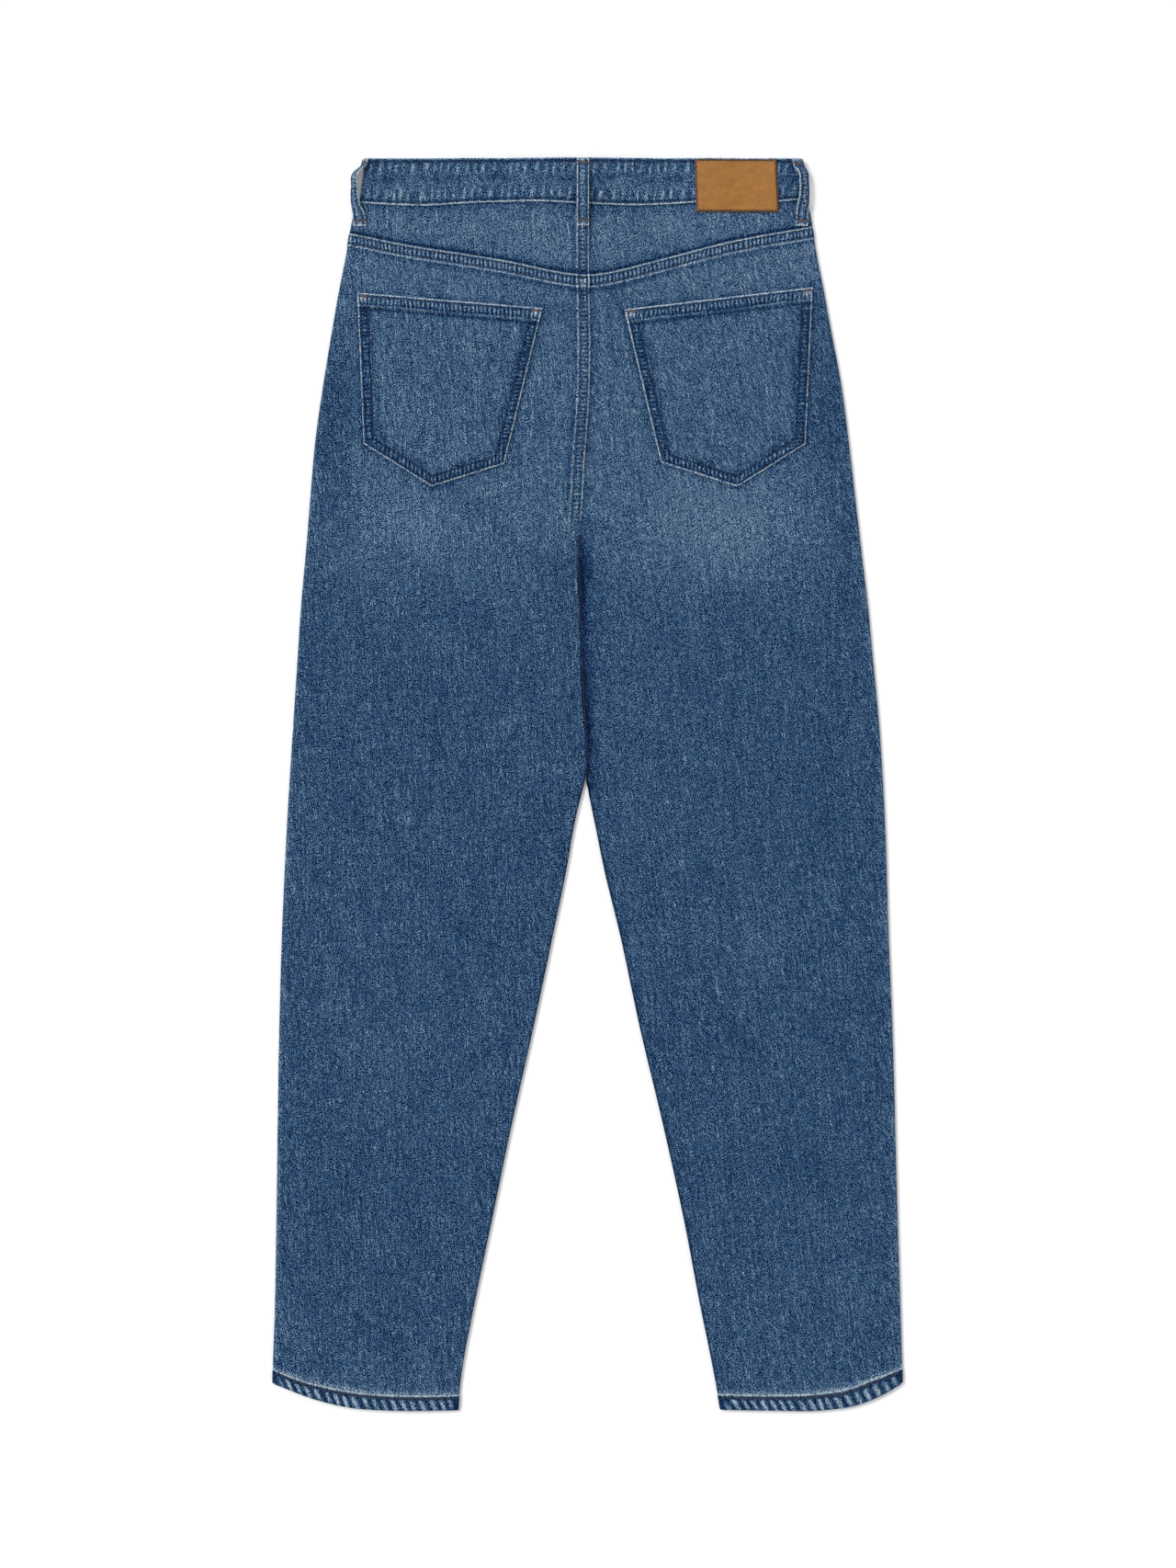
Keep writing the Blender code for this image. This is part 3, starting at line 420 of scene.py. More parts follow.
def clothPiece(name, outside, inside, marks, material, keep=None, ring=False, faceUp=True):
    # A closed wall between two grids of points: outer cells, inner cells turned over, and rims.
    # A mark is a grid or one value, and a finish reads a mark that is left out as 0.
    rows, columns = outside.shape[:2]
    across = columns if ring else columns - 1
    if keep is None:
        keep = np.ones((rows - 1, across), bool)
    number = np.arange(rows * columns).reshape(rows, columns)
    after = np.roll(number, -1, axis=1)
    cells = np.stack([
        number[:-1, :across], after[:-1, :across], after[1:, :across], number[1:, :across]], axis=-1)
    beyond = np.zeros((rows + 1, across + 2), bool)
    beyond[1:-1, 1:-1] = keep
    if ring:
        beyond[1:-1, 0] = keep[:, -1]
        beyond[1:-1, -1] = keep[:, 0]
    neighbours = (beyond[:-2, 1:-1], beyond[1:-1, 2:], beyond[2:, 1:-1], beyond[1:-1, :-2])
    total = rows * columns
    faces = [cells[keep], cells[keep][:, ::-1] + total]
    for edge, neighbour in enumerate(neighbours):
        rim = cells[keep & ~neighbour]
        first, second = rim[:, edge], rim[:, (edge + 1) % 4]
        faces.append(np.stack([second, first, first + total, second + total], axis=1))
    faces = np.concatenate(faces)
    middle = cells[rows // 2, 2 if ring else across // 2]
    corner = toWorld(outside.reshape(-1, 3)[middle])
    up = np.cross(corner[1] - corner[0], corner[3] - corner[0])[2] > 0
    if up != faceUp:
        faces = faces[:, ::-1]
    points = np.concatenate([outside.reshape(-1, 3), inside.reshape(-1, 3)])
    used = np.unique(faces)
    renumber = np.zeros(len(points), int)
    renumber[used] = np.arange(len(used))
    doubled = {
        key: np.tile(np.broadcast_to(values, (rows, columns)).ravel(), 2)[used]
        for key, values in marks.items()}
    return addMesh(name, points[used], renumber[faces], material, doubled)


def standFor(piece, node):
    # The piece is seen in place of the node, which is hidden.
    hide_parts(node)
    return piece


# Finishes

def addNode(tree, kind, values=None, **settings):
    node = tree.nodes.new(kind)
    for key, value in settings.items():
        setattr(node, key, value)
    for key, value in (values or {}).items():
        if isinstance(value, bpy.types.NodeSocket):
            tree.links.new(value, node.inputs[key])
        else:
            node.inputs[key].default_value = value
    return node


def calc(tree, operation, first, second=0.0, third=None):
    values = {0: first, 1: second}
    if third is not None:
        values[2] = third
    return addNode(tree, "ShaderNodeMath", values, operation=operation).outputs[0]


def newFinish(name):
    material = bpy.data.materials.new(name)
    material.use_nodes = True
    tree = material.node_tree
    coords = addNode(tree, "ShaderNodeTexCoord").outputs["Object"]
    return material, tree, tree.nodes["Principled BSDF"], coords


def stretched(tree, coords, sizes, turn=0.0):
    # Coordinates in which a noise of scale 1 has features of these sizes, in millimetres.
    scale = [size * millimetre for size in sizes]
    return addNode(
        tree, "ShaderNodeMapping",
        {"Vector": coords, "Rotation": (0, 0, np.radians(turn)), "Scale": scale},
        vector_type="TEXTURE").outputs[0]


def noise(tree, coords, sizes, turn=0.0, detail=2.0, rough=0.6):
    # Noise about zero: its value less a half.
    vector = stretched(tree, coords, sizes, turn)
    made = addNode(tree, "ShaderNodeTexNoise", {
        "Vector": vector, "Scale": 1.0, "Detail": detail, "Roughness": rough})
    return calc(tree, "SUBTRACT", made.outputs["Fac"], 0.5)


def tint(tree, shader, value, stops):
    # Colours the finish by a ramp through screen values from 0 to 255.
    ramp = addNode(tree, "ShaderNodeValToRGB", {0: value})
    elements = ramp.color_ramp.elements
    for at, _ in stops[2:]:
        elements.new(at)
    for element, (at, color) in zip(elements, stops):
        element.position = at
        shade = np.array(color) / 255
        linear = np.where(shade <= 0.04045, shade / 12.92, ((shade + 0.055) / 1.055) ** 2.4)
        element.color = (*linear, 1)
    tree.links.new(ramp.outputs["Color"], shader.inputs["Base Color"])


denimLook = {
    "weave": 1.6,           # contrast of the threads crossing
    "weaveStep": (0.85, 1.35, 1.0),
    "floats": 0.12,         # contrast of single warp floats
    "streaks": 0.88,        # contrast of the twill's light streaks
    "streakSize": (0.8, 4.6, 3.0),
    "strokes": 1.15,        # contrast of the sparse light threads
    "strokeSize": (1.0, 11.0, 6.0),
    "blotches": 0.13,
    "blotchSize": (26, 34, 34),
    "slubs": 0.32,          # contrast of long uneven yarns down the legs
    "slubSize": (1.5, 34, 20),
    "dye": 0.112,
    "rubbed": 0.58,
    "wearSize": (2.4, 2.4, 2.4),
    "ladder": 0.30,         # contrast of the small ridges between two rows of sewing
    "ladderStep": 3.5,      # their spacing in millimetres
    "ladderShift": 9.0,
    "ladderShiftSize": (14, 14, 14),
    "shades": [
        (0.0, (0, 6, 34)), (0.10, (0, 24, 66)), (0.28, (3, 55, 106)), (0.40, (31, 76, 115)),
        (0.62, (79, 116, 149)), (0.85, (142, 167, 186)), (1.0, (198, 205, 206))],
}


def relief(tree, shader, height, strength, depth, rough=None, shine=None):
    # Bump of that depth in millimetres, with the finish's roughness and shine.
    bump = addNode(tree, "ShaderNodeBump", {
        "Height": height, "Strength": strength, "Distance": depth * millimetre})
    tree.links.new(bump.outputs["Normal"], shader.inputs["Normal"])
    if rough is not None:
        shader.inputs["Roughness"].default_value = rough
    if shine is not None:
        shader.inputs["Specular IOR Level"].default_value = shine


def readMark(tree, name):
    return addNode(tree, "ShaderNodeAttribute", attribute_name=name).outputs["Fac"]


def ladder(tree, along, shifted):
    # Ridges along a seam: the sine of the place along it, shifted by noise.
    turns = 2 * np.pi / (denimLook["ladderStep"] * millimetre)
    return calc(tree, "SINE", calc(tree, "MULTIPLY_ADD", along, turns, shifted))


def denimFinish(name, lean):
    # Lightness is the mark "fade", which holds the wash and painted shadow, and the threads, less the dye,
    # plus blotches, slubs, ladders and rubbed places, and it picks a shade. The threads are weave, floats,
    # streaks and strokes. The weave is how near a point lies to the nearest of many nearly even places.
    material, tree, shader, coords = newFinish(name)
    cells = addNode(tree, "ShaderNodeTexVoronoi", {
        "Vector": stretched(tree, coords, denimLook["weaveStep"], lean), "Scale": 1.0,
        "Randomness": 0.8}, voronoi_dimensions="2D")
    weave = calc(tree, "SUBTRACT", 0.42, cells.outputs["Distance"])
    floats = addNode(tree, "ShaderNodeSeparateColor", {0: cells.outputs["Color"]}).outputs[0]
    floats = calc(tree, "SUBTRACT", floats, 0.5)
    streaks = noise(tree, coords, denimLook["streakSize"], lean, 1.0, 0.6)
    strokes = noise(tree, coords, denimLook["strokeSize"], 0.4 * lean, 1.0, 0.5)
    strokes = calc(tree, "MAXIMUM", calc(tree, "SUBTRACT", strokes, 0.06), 0.0)
    blotches = noise(tree, coords, denimLook["blotchSize"], 0, 3.0, 0.6)
    slubs = noise(tree, coords, denimLook["slubSize"], 0.25 * lean, 1.0, 0.5)
    wear = noise(tree, coords, denimLook["wearSize"], 0, 2.0, 0.6)
    where = addNode(tree, "ShaderNodeSeparateXYZ", {0: coords})
    shifted = calc(
        tree, "MULTIPLY", noise(tree, coords, denimLook["ladderShiftSize"], 0, 1.0, 0.5),
        denimLook["ladderShift"])
    threads = calc(tree, "MULTIPLY", weave, denimLook["weave"])
    for part, amount in ((floats, "floats"), (streaks, "streaks"), (strokes, "strokes")):
        threads = calc(tree, "MULTIPLY_ADD", part, denimLook[amount], threads)
    ridges = calc(
        tree, "MULTIPLY", ladder(tree, where.outputs["X"], shifted), readMark(tree, "ticksAcross"))
    ridges = calc(
        tree, "MULTIPLY_ADD", ladder(tree, where.outputs["Y"], shifted), readMark(tree, "ticksAlong"),
        ridges)
    ridges = calc(tree, "MULTIPLY", ridges, calc(tree, "MULTIPLY_ADD", wear, 2.2, 1.0))
    worn = calc(tree, "MULTIPLY", calc(tree, "MULTIPLY_ADD", wear, 1.6, 1.0), readMark(tree, "rubbed"))
    light = calc(tree, "ADD", readMark(tree, "fade"), threads)
    light = calc(tree, "SUBTRACT", light, denimLook["dye"])
    parts = ((blotches, "blotches"), (slubs, "slubs"), (ridges, "ladder"), (worn, "rubbed"))
    for part, amount in parts:
        light = calc(tree, "MULTIPLY_ADD", part, denimLook[amount], light)
    tint(tree, shader, light, denimLook["shades"])
    height = calc(tree, "MULTIPLY_ADD", ridges, 2.0, threads)
    relief(tree, shader, height, 0.3, 0.2, rough=0.9, shine=0.1)
    return material


def threadFinish(name, dark, light):
    # Spun thread: two close shades mixed by noise along the thread.
    material, tree, shader, coords = newFinish(name)
    twist = noise(tree, coords, (0.5, 0.5, 0.5), 0, 2.0, 0.6)
    level = calc(tree, "MULTIPLY_ADD", twist, 1.8, 0.5)
    tint(tree, shader, level, [(0.0, dark), (1.0, light)])
    relief(tree, shader, twist, 0.5, 0.1, rough=0.7, shine=0.3)
    return material


def leatherFinish(name):
    # Bare tan leather: mottled, fine grain from cells, edges burnished darker.
    material, tree, shader, coords = newFinish(name)
    edge = readMark(tree, "burnish")
    mottle = noise(tree, coords, (9, 6, 6), 0, 4.0, 0.6)
    speckle = noise(tree, coords, (0.9, 0.9, 0.9), 0, 2.0, 0.6)
    level = calc(tree, "MULTIPLY_ADD", mottle, 0.35, 0.55)
    level = calc(tree, "MULTIPLY_ADD", speckle, 0.6, level)
    level = calc(tree, "MULTIPLY_ADD", edge, -0.4, level)
    tint(tree, shader, level, [
        (0.0, (66, 42, 14)), (0.35, (130, 84, 34)), (0.6, (162, 109, 44)), (1.0, (200, 150, 80))])
    cells = addNode(tree, "ShaderNodeTexVoronoi", {
        "Vector": stretched(tree, coords, (0.8, 0.8, 0.8)), "Scale": 1.0}, feature="SMOOTH_F1")
    height = calc(tree, "MULTIPLY_ADD", mottle, 2.0, cells.outputs["Distance"])
    relief(tree, shader, height, 0.5, 0.15, rough=0.55, shine=0.4)
    return material


def metalFinish(name, dark, light, rough):
    # Aged metal: tarnish from noise, brushed by fine scratches.
    material, tree, shader, coords = newFinish(name)
    tarnish = noise(tree, coords, (3, 3, 3), 0, 4.0, 0.6)
    scratches = noise(tree, coords, (0.15, 2.5, 1.0), 30, 2.0, 0.6)
    level = calc(tree, "MULTIPLY_ADD", tarnish, 1.6, 0.5)
    tint(tree, shader, level, [(0.0, dark), (1.0, light)])
    roughness = calc(tree, "MULTIPLY_ADD", scratches, 0.3, rough)
    tree.links.new(roughness, shader.inputs["Roughness"])
    relief(tree, shader, scratches, 0.3, 0.05)
    shader.inputs["Metallic"].default_value = 1.0
    return material


def tapeFinish(name):
    # Woven zip tape: fine ribs across it.
    material, tree, shader, coords = newFinish(name)
    ribs = addNode(tree, "ShaderNodeTexWave", {
        "Vector": coords, "Scale": 260.0, "Distortion": 0.6}, bands_direction="Y").outputs["Fac"]
    flecks = noise(tree, coords, (0.6, 0.6, 0.6), 0, 2.0, 0.6)
    level = calc(tree, "MULTIPLY_ADD", flecks, 0.8, ribs)
    tint(tree, shader, level, [(0.0, (12, 18, 32)), (1.0, (40, 52, 78))])
    relief(tree, shader, ribs, 0.5, 0.15, rough=0.85)
    return material


print("mixing the finishes")
denim = {left: denimFinish("denim_left", 13), right: denimFinish("denim_right", 32)}
denimBand = denimFinish("denim_band", 80)
seamThread = threadFinish("thread_grey_brown", (30, 36, 48), (84, 86, 92))
bandThread = threadFinish("thread_dark", (18, 27, 46), (54, 61, 78))
tackThread = threadFinish("thread_tack", (56, 50, 52), (126, 110, 102))
patchThread = threadFinish("thread_navy", (16, 22, 34), (54, 56, 62))
leather = leatherFinish("leather_tan")
brass = metalFinish("brass_aged", (96, 66, 36), (196, 158, 98), 0.42)
zipTape = tapeFinish("zip_tape_navy")


# Back panels and yokes

# Distances from a felled seam at which its profile needs a row or column of points
seamSteps = np.array([
    0, 0.45, 0.9, 1.4, 1.9, 2.6, 3.6, 5.0, 6.4, 7.6, 8.3, 9.0, 9.6, 10.4, 11.5, 13.5, 16.5, 20])


def flatColumns(innerX, outerX, first):
    # Places across a panel, closer together along its seams and folds.
    side = np.sign(outerX - innerX)
    near = first + seamSteps * (1 - first / seamSteps[-1])
    ending = np.array([15.0, 12.0, 9.5, 7.2, 5.2, 3.6, cloth["foldRadius"]])
    count = int(200 / cloth["columnStep"])
    between = np.linspace(0, 1, count + 2)[None, 1:-1]
    start, stop = innerX + side * near[:, -1:], outerX - side * ending[0]
    return np.concatenate([
        innerX + side * near, start + (stop - start) * between, outerX - side * ending], axis=1)


arcSteps = np.radians(np.linspace(0, 180, 10))[None, :]
foldTurns = arcSteps.shape[1] - 1


def join(*parts):
    # Blocks of columns side by side, each repeated down to the height of the tallest.
    rows = max(len(part) for part in parts)
    return np.concatenate([np.broadcast_to(part, (rows, part.shape[1])) for part in parts], axis=1)


def wrapped(start, firstFold, middle, lastFold, end):
    # One coordinate of a section: a part beneath, a fold, the back, a fold, a part beneath.
    return join(start, firstFold[:, :0:-1], middle, lastFold[:, 1:], end)


def foldArc(edge, side, radius, wall, proud):
    # Section of a fold from its top round to its underside, as outer and inner x and z.
    # Proud thickens its upper part: radius + proud * (1 + cos a) / 2.
    center = edge - side * radius
    outer = radius + proud * (1 + np.cos(arcSteps)) / 2
    tight = radius - wall
    outside = center + side * outer * np.sin(arcSteps), radius + outer * np.cos(arcSteps)
    inside = center + side * tight * np.sin(arcSteps), radius + tight * np.cos(arcSteps)
    return outside, inside


def panelGrids(side, levels, downAt, topAt, proudAt):
    # Grids of a back panel: inseam turned under, flat part, outer fold and lip turned under.
    levels = levels[:, None]
    innerDown, outerDown = downAt(levels, 0.0), downAt(levels, 1.0)
    innerX, outerX = innerEdge(side, innerDown), outerEdge(side, outerDown)
    below = innerDown >= cloth["crotch"]
    x = flatColumns(innerX, outerX, np.where(below, cloth["foldRadius"], 0.0))
    down = downAt(levels, (x - innerX) / (outerX - innerX))
    top = topAt(side, x, down)
    base = clothHeight(side, x, down) - cloth["wall"]
    proud = proudAt(levels)
    edgeOut, edgeIn = foldArc(outerX, side, cloth["foldRadius"], cloth["wall"], proud)
    seamOut, seamIn = foldArc(innerX, -side, cloth["foldRadius"], cloth["wall"], 0 * proud)
    under = np.linspace(1, 0, 4)[None, :-1]
    reach = cloth["foldRadius"] + (cloth["lip"] - cloth["foldRadius"]) * under
    lipOuter, lipInner = outerX - side * reach[:, ::-1], innerX + side * reach
    flat, lining = 0 * under, cloth["wall"] + 0 * under
    turned = under.shape[1] + foldTurns
    downs = join(np.repeat(innerDown, turned, axis=1), down, np.repeat(outerDown, turned, axis=1))
    outside = place(
        wrapped(lipInner, seamOut[0], x, edgeOut[0], lipOuter), downs,
        wrapped(flat, seamOut[1], top, edgeOut[1], flat))
    inside = place(
        wrapped(lipInner, seamIn[0], x, edgeIn[0], lipOuter), downs,
        wrapped(lining, seamIn[1], base, edgeIn[1], lining))
    return outside, inside, turned


def backDown(side):
    # Rows follow the yoke seam at the top, run level down the leg and end along the hem.
    seam, end = yokeSeam[side], hemLine[side]
    seamLevel, hemLevel = cloth["seamLevel"], cloth["hemLevel"]

    def downAt(level, share):
        topShift = follow(seam, "share", share, "down") - seamLevel
        endShift = follow(end, "share", share, "down") - cloth["gap"] - hemLevel
        nearTop = 1 - smooth((level - seamLevel) / 200)
        nearEnd = smooth((level - hemLevel + 120) / 120)
        return level + topShift * nearTop + endShift * nearEnd

    return downAt


def backMarks(side, x, down):
    # Wash and wear of a back panel, with painted shadow along its seams, round its pockets and in the
    # crease between the legs: felled seams rubbed on their folded edges and ripples.
    below, beside = seamDistances(side, x, down)
    seat = 1 - smooth((down - cloth["crotch"] + 30) / 30)
    onLeft = seat * (side == left)
    onYoke = bell(below - 5.2, 3.4)
    onCenter = bell(beside - 5.2, 3.4) * onLeft
    ridges = np.maximum(unevenWaves(x, felled["rippleLengths"], 11 + side), 0)
    ridgesAlong = np.maximum(unevenWaves(down, felled["rippleLengths"], 21), 0)
    rubbed = seamRubbed(below) + 0.2 * ridges * onYoke
    rubbed = rubbed + 0.8 * seamRubbed(beside) * onLeft + 0.2 * ridgesAlong * onCenter
    fromTop, fromEdge = pocketEdge(side, x, down)
    # Painted shadow on the panel just outside each pocket's edges.
    outside = bell(np.minimum(fromTop, fromEdge) + 0.9, 1.5)
    inwards = np.abs(x - foldLine(side, down))
    apart = smooth((down - 520) / 60)
    # Painted shadow in the crease where the legs meet, wider on the right leg, which runs under the left
    # leg's edge.
    creaseShadow = smooth((down - 285) / 60) * bell(inwards, (3.4 if side == right else 1.3) * (1 - 0.5 * apart))
    creaseShadow = creaseShadow + 0.35 * smooth((down - 285) / 60) * bell(inwards, 9) * (1 - apart) * (side == right)
    outer = np.abs(outerEdge(side, down) - x)
    share = (x - innerEdge(side, down)) / (outerEdge(side, down) - innerEdge(side, down))
    toHem = follow(hemLine[side], "share", share, "down") - down
    rubbed = rubbed + 0.45 * bell(toHem, 1.4) + 0.12 * bell(toHem - 3, 3)
    fade = washAndShadow(x, down) + seamRowsAndShadow(below) + 0.8 * seamRowsAndShadow(beside) * onLeft
    # On the right panel, painted shadow beside the centre seam, under the left panel's raised folded edge.
    if side == right:
        fade = fade - 0.16 * bell(beside, 1.8) * seat - 0.04 * bell(beside - 3, 4) * seat
    fade = fade - 0.30 * creaseShadow + 0.02 * bell(outer, 5) - 0.18 * outside
    # Where the yoke seam crosses the centre seam: rubbed, and shaded below it
    rubbed = rubbed + 0.9 * bell(np.hypot(x + 4.6, down - 106.5), 3.6)
    fade = fade - 0.16 * bell(np.hypot((x + 4) / 1.3, down - 115.5), 5)
    return {
        "fade": fade, "rubbed": rubbed + 0.12 * bell(outer - 1, 2.5) * smooth((down - 300) / 100),
        "ticksAcross": onYoke, "ticksAlong": onCenter * 0.6}


def buildBack(side):
    name = "back_" + sideNames[side]
    topRows = cloth["seamLevel"] + seamSteps[:-1]
    steps = int((cloth["hemLevel"] - topRows[-1]) / cloth["rowStep"])
    levels = np.concatenate([topRows, np.linspace(topRows[-1], cloth["hemLevel"], steps + 1)[1:]])
    nearest = np.argmin(np.abs(levels - cloth["crotch"]))
    levels[nearest] = cloth["crotch"]

    def proudAt(level):
        below = level - cloth["seamLevel"]
        return np.where(below < 0.2, 0, felledProfile(below))

    outside, inside, turned = panelGrids(side, levels, backDown(side), backTop, proudAt)
    keep = np.ones((len(levels) - 1, outside.shape[1] - 1), bool)
    keep[levels[:-1] < cloth["crotch"], :turned] = False
    marks = backMarks(side, outside[..., 0], outside[..., 1])
    piece = clothPiece(name + "_cloth", outside, inside, marks, denim[side], keep)
    return standFor(piece, name)


def buildYoke(side):
    name = "yoke_" + sideNames[side]
    topInner, topOuter = float(innerEdge(side, 38.0)), float(outerEdge(side, 38.0))

    def downAt(level, share):
        topX = topInner + (topOuter - topInner) * share
        top = follow(bandEdge, "x", topX, "down") + cloth["gap"]
        end = follow(yokeSeam[side], "share", share, "down") - cloth["gap"]
        return top + (end - top) * level

    levels = np.concatenate([[0, 0.012, 0.03], np.linspace(0.06, 0.94, 18), [0.97, 0.988, 1]])
    outside, inside, turned = panelGrids(side, levels, downAt, yokeTop, lambda level: 0 * level)
    outside, inside = outside[:, turned:], inside[:, turned:]
    x, down = outside[..., 0], outside[..., 1]
    marks = backMarks(side, x, down)
    above = yokeSeamDown(side, x) - down
    underBand = down - follow(bandEdge, "x", x, "down")
    # Painted shadow on the yoke just above the back panel's raised seam, and a darker one under the
    # waistband's lower edge.
    marks["fade"] = marks["fade"] - 0.08 * bell(above - 3, 4) - 0.30 * bell(underBand, 1.7)
    marks["fade"] = marks["fade"] - 0.05 * bell(underBand - 4, 5)
    piece = clothPiece(name + "_cloth", outside, inside, marks, denim[side])
    return standFor(piece, name)


# Waistband

band = {
    "tall": 38, "wall": 2.0, "radius": 2.45, "flyEdge": 6.0, "underlapEnd": -38.0, "frontTop": 37.3,
    "sidePart": 165.0, "sideBlend": 17, "rows": (3.2, 2.0), "frontRows": (3.2, 34.8),
    "ripple": 0.3, "rippleStep": 7.4,
}
bandSides = table("down left right", [(0, -189.2, 181.4), (38, -194.4, 185.6)])
bandFrontEdge = {left: 38.0, right: 35.0}


def bandHeight(x, down):
    return 2 * band["radius"] + stack(x, down)


def underlapLift(x):
    # The underlapping end of the band lies on the other end, and comes down beside it.
    return lift["underlap"] * (1 - smooth((x - band["flyEdge"] - 3) / 15))


def puckers(x, down):
    # Even ripples along the band: a sine whose phase wanders.
    wander = 1.3 * np.sin(x / 5.1) + 1.1 * np.sin(x / 8.7 + 1)
    return np.sin(2 * np.pi * (x + 0.12 * down) / band["rippleStep"] + wander)


def bandRelief(x, down, low):
    # Rounded edges, two sunk rows of sewing, and ripples that are strongest along both edges.
    fromLow = low - down
    edges = 0.6 * (1 - smooth(down / 1.2)) + 0.55 * (1 - smooth(fromLow / 1.1))
    sunk = 0.22 * (bell(down - band["rows"][0], 0.8) + bell(fromLow - band["rows"][1], 0.8))
    waves = puckers(x, down)
    strength = 0.35 + bell(down - 5, 6) + bell(fromLow - 5, 6)
    broad = 0.25 * unevenWaves(x, (38, 57, 83), 8) * smooth(down / 8) * smooth(fromLow / 8)
    return band["ripple"] * waves * strength * smooth(down / 2) * smooth(fromLow / 2) - edges - sunk + broad


def bandMarks(x, down, low):
    fromLow = low - down
    waves = np.maximum(puckers(x, down), 0) ** 1.5
    near = bell(down - 8.5, 4.5) + bell(fromLow - 8, 5)
    swing = 0.55 + 0.3 * unevenWaves(x + 0.8 * down, (19, 29, 43), 19)
    rubbed = 0.6 * bell(down - 0.3, 0.9) + 1.1 * bell(fromLow - 0.5, 0.75) + 0.95 * waves * near * swing
    sewn = 0.30 * bell(down - 2.8, 1.3) + 0.30 * bell(fromLow - 2.6, 1.2)
    # Painted shade along a wavy line across the middle of the band, where it would lie in a shallow valley.
    hollowDown = 17.5 + 2.5 * unevenWaves(x, (37, 58, 90), 17)
    deep = 0.12 * np.clip(0.7 + unevenWaves(x, (31, 47, 66), 15), 0, 1.4)
    valleyShade = deep * bell(down - hollowDown, 2.6)
    return {
        "fade": washAndShadow(x, down) - 0.01 - sewn - valleyShade - 0.10 * near * (1 - waves), "rubbed": rubbed,
        "ticksAcross": 0.15 * near}


def buildWaistband():
    # One strip from its overlapping end round the back to its underlapping end.
    tall, count = band["tall"], 330
    share = np.concatenate([
        [0, 0.4, 0.9, 1.5, 2.1, 2.7, 3.3, 4.0, 5.0, 6.5], np.linspace(8.5, 30, 11),
        [32, 33.4, 34.6, 35.4, 36.0, 36.6, 37.1, 37.6, 38]])[:, None] / tall
    leftX = follow(bandSides, "down", tall * share, "left")
    rightX = follow(bandSides, "down", tall * share, "right")
    radius, wall = band["radius"], band["wall"]
    backX = leftX + radius + (rightX - leftX - 2 * radius) * np.linspace(0, 1, count)
    low = follow(bandEdge, "x", backX, "down")
    middleDown = share * low
    base = bandHeight(backX, middleDown)
    top = base + bandRelief(backX, middleDown, low)
    halves = {}
    for side, start, end in ((left, band["flyEdge"], -band["sidePart"]),
                             (right, band["sidePart"], band["underlapEnd"])):
        x = start + (end - start) * np.linspace(0, 1, 64)[None, :] + 0 * share
        level = band["frontTop"] - cloth["gap"]
        toFold = smooth((np.abs(x) - band["sidePart"] + band["sideBlend"]) / band["sideBlend"])
        down = share * (level + (bandFrontEdge[side] - level) * toFold)
        z = frontBumps(x, down)
        if side == right:
            z = z + underlapLift(x)
        halves[side] = x, down, z
    rounded = 0.6 * (1 - smooth(tall * share / 1.2)) + 0.55 * (1 - smooth(tall * (1 - share) / 1.1))
    leftOut, leftIn = foldArc(leftX, left, radius, wall, -rounded)
    rightOut, rightIn = foldArc(rightX, right, radius, wall, -rounded)
    (startX, startDown, startZ), (endX, endDown, endZ) = halves[left], halves[right]
    down = join(
        startDown, np.repeat(middleDown[:, :1], foldTurns, axis=1), middleDown,
        np.repeat(middleDown[:, -1:], foldTurns, axis=1), endDown)
    outside = place(
        wrapped(startX, leftOut[0], backX, rightOut[0], endX), down,
        wrapped(startZ, leftOut[1], top, rightOut[1], endZ))
    inside = place(
        wrapped(startX, leftIn[0], backX, rightIn[0], endX), down,
        wrapped(startZ + wall, leftIn[1], base - wall, rightIn[1], endZ + wall))
    marks = bandMarks(outside[..., 0], down, down[-1:, :])
    piece = clothPiece("waistband_cloth", outside, inside, marks, denimBand)
    return standFor(piece, "waistband")


# Back pockets

pocket = {
    "gap": 0.4, "hem": 12.0, "hemRaise": 0.6, "rows": (1.9, 8.4), "hemRows": (2.6, 11.2),
    "ripple": 0.15, "rippleLengths": (6.7, 8.9, 11.3), "belly": 0.5, "turned": 9.5,
    "slopeDown": {left: 238, right: 240},
}
pocketCorners = {
    left: table("x down", [
        (-195.8, 114.3), (-38.7, 127.5), (-71.0, 259.4), (-132.6, 278.9), (-190.5, 242.5)]),
    right: table("x down", [
        (30.9, 128.6), (190.7, 109.7), (184.7, 242.7), (126.9, 279.0), (61.8, 258.2)]),
}


def pocketEdge(side, x, down):
    # How far inside the top edge a point lies, and how far inside the nearest of the others.
    corners = pocketCorners[side]
    distances = []
    for i in range(5):
        x1, y1 = corners["x"][i], corners["down"][i]
        x2, y2 = corners["x"][(i + 1) % 5], corners["down"][(i + 1) % 5]
        length = np.hypot(x2 - x1, y2 - y1)
        distances.append(((x2 - x1) * (down - y1) - (y2 - y1) * (x - x1)) / length)
    return distances[0], np.min(distances[1:], axis=0)


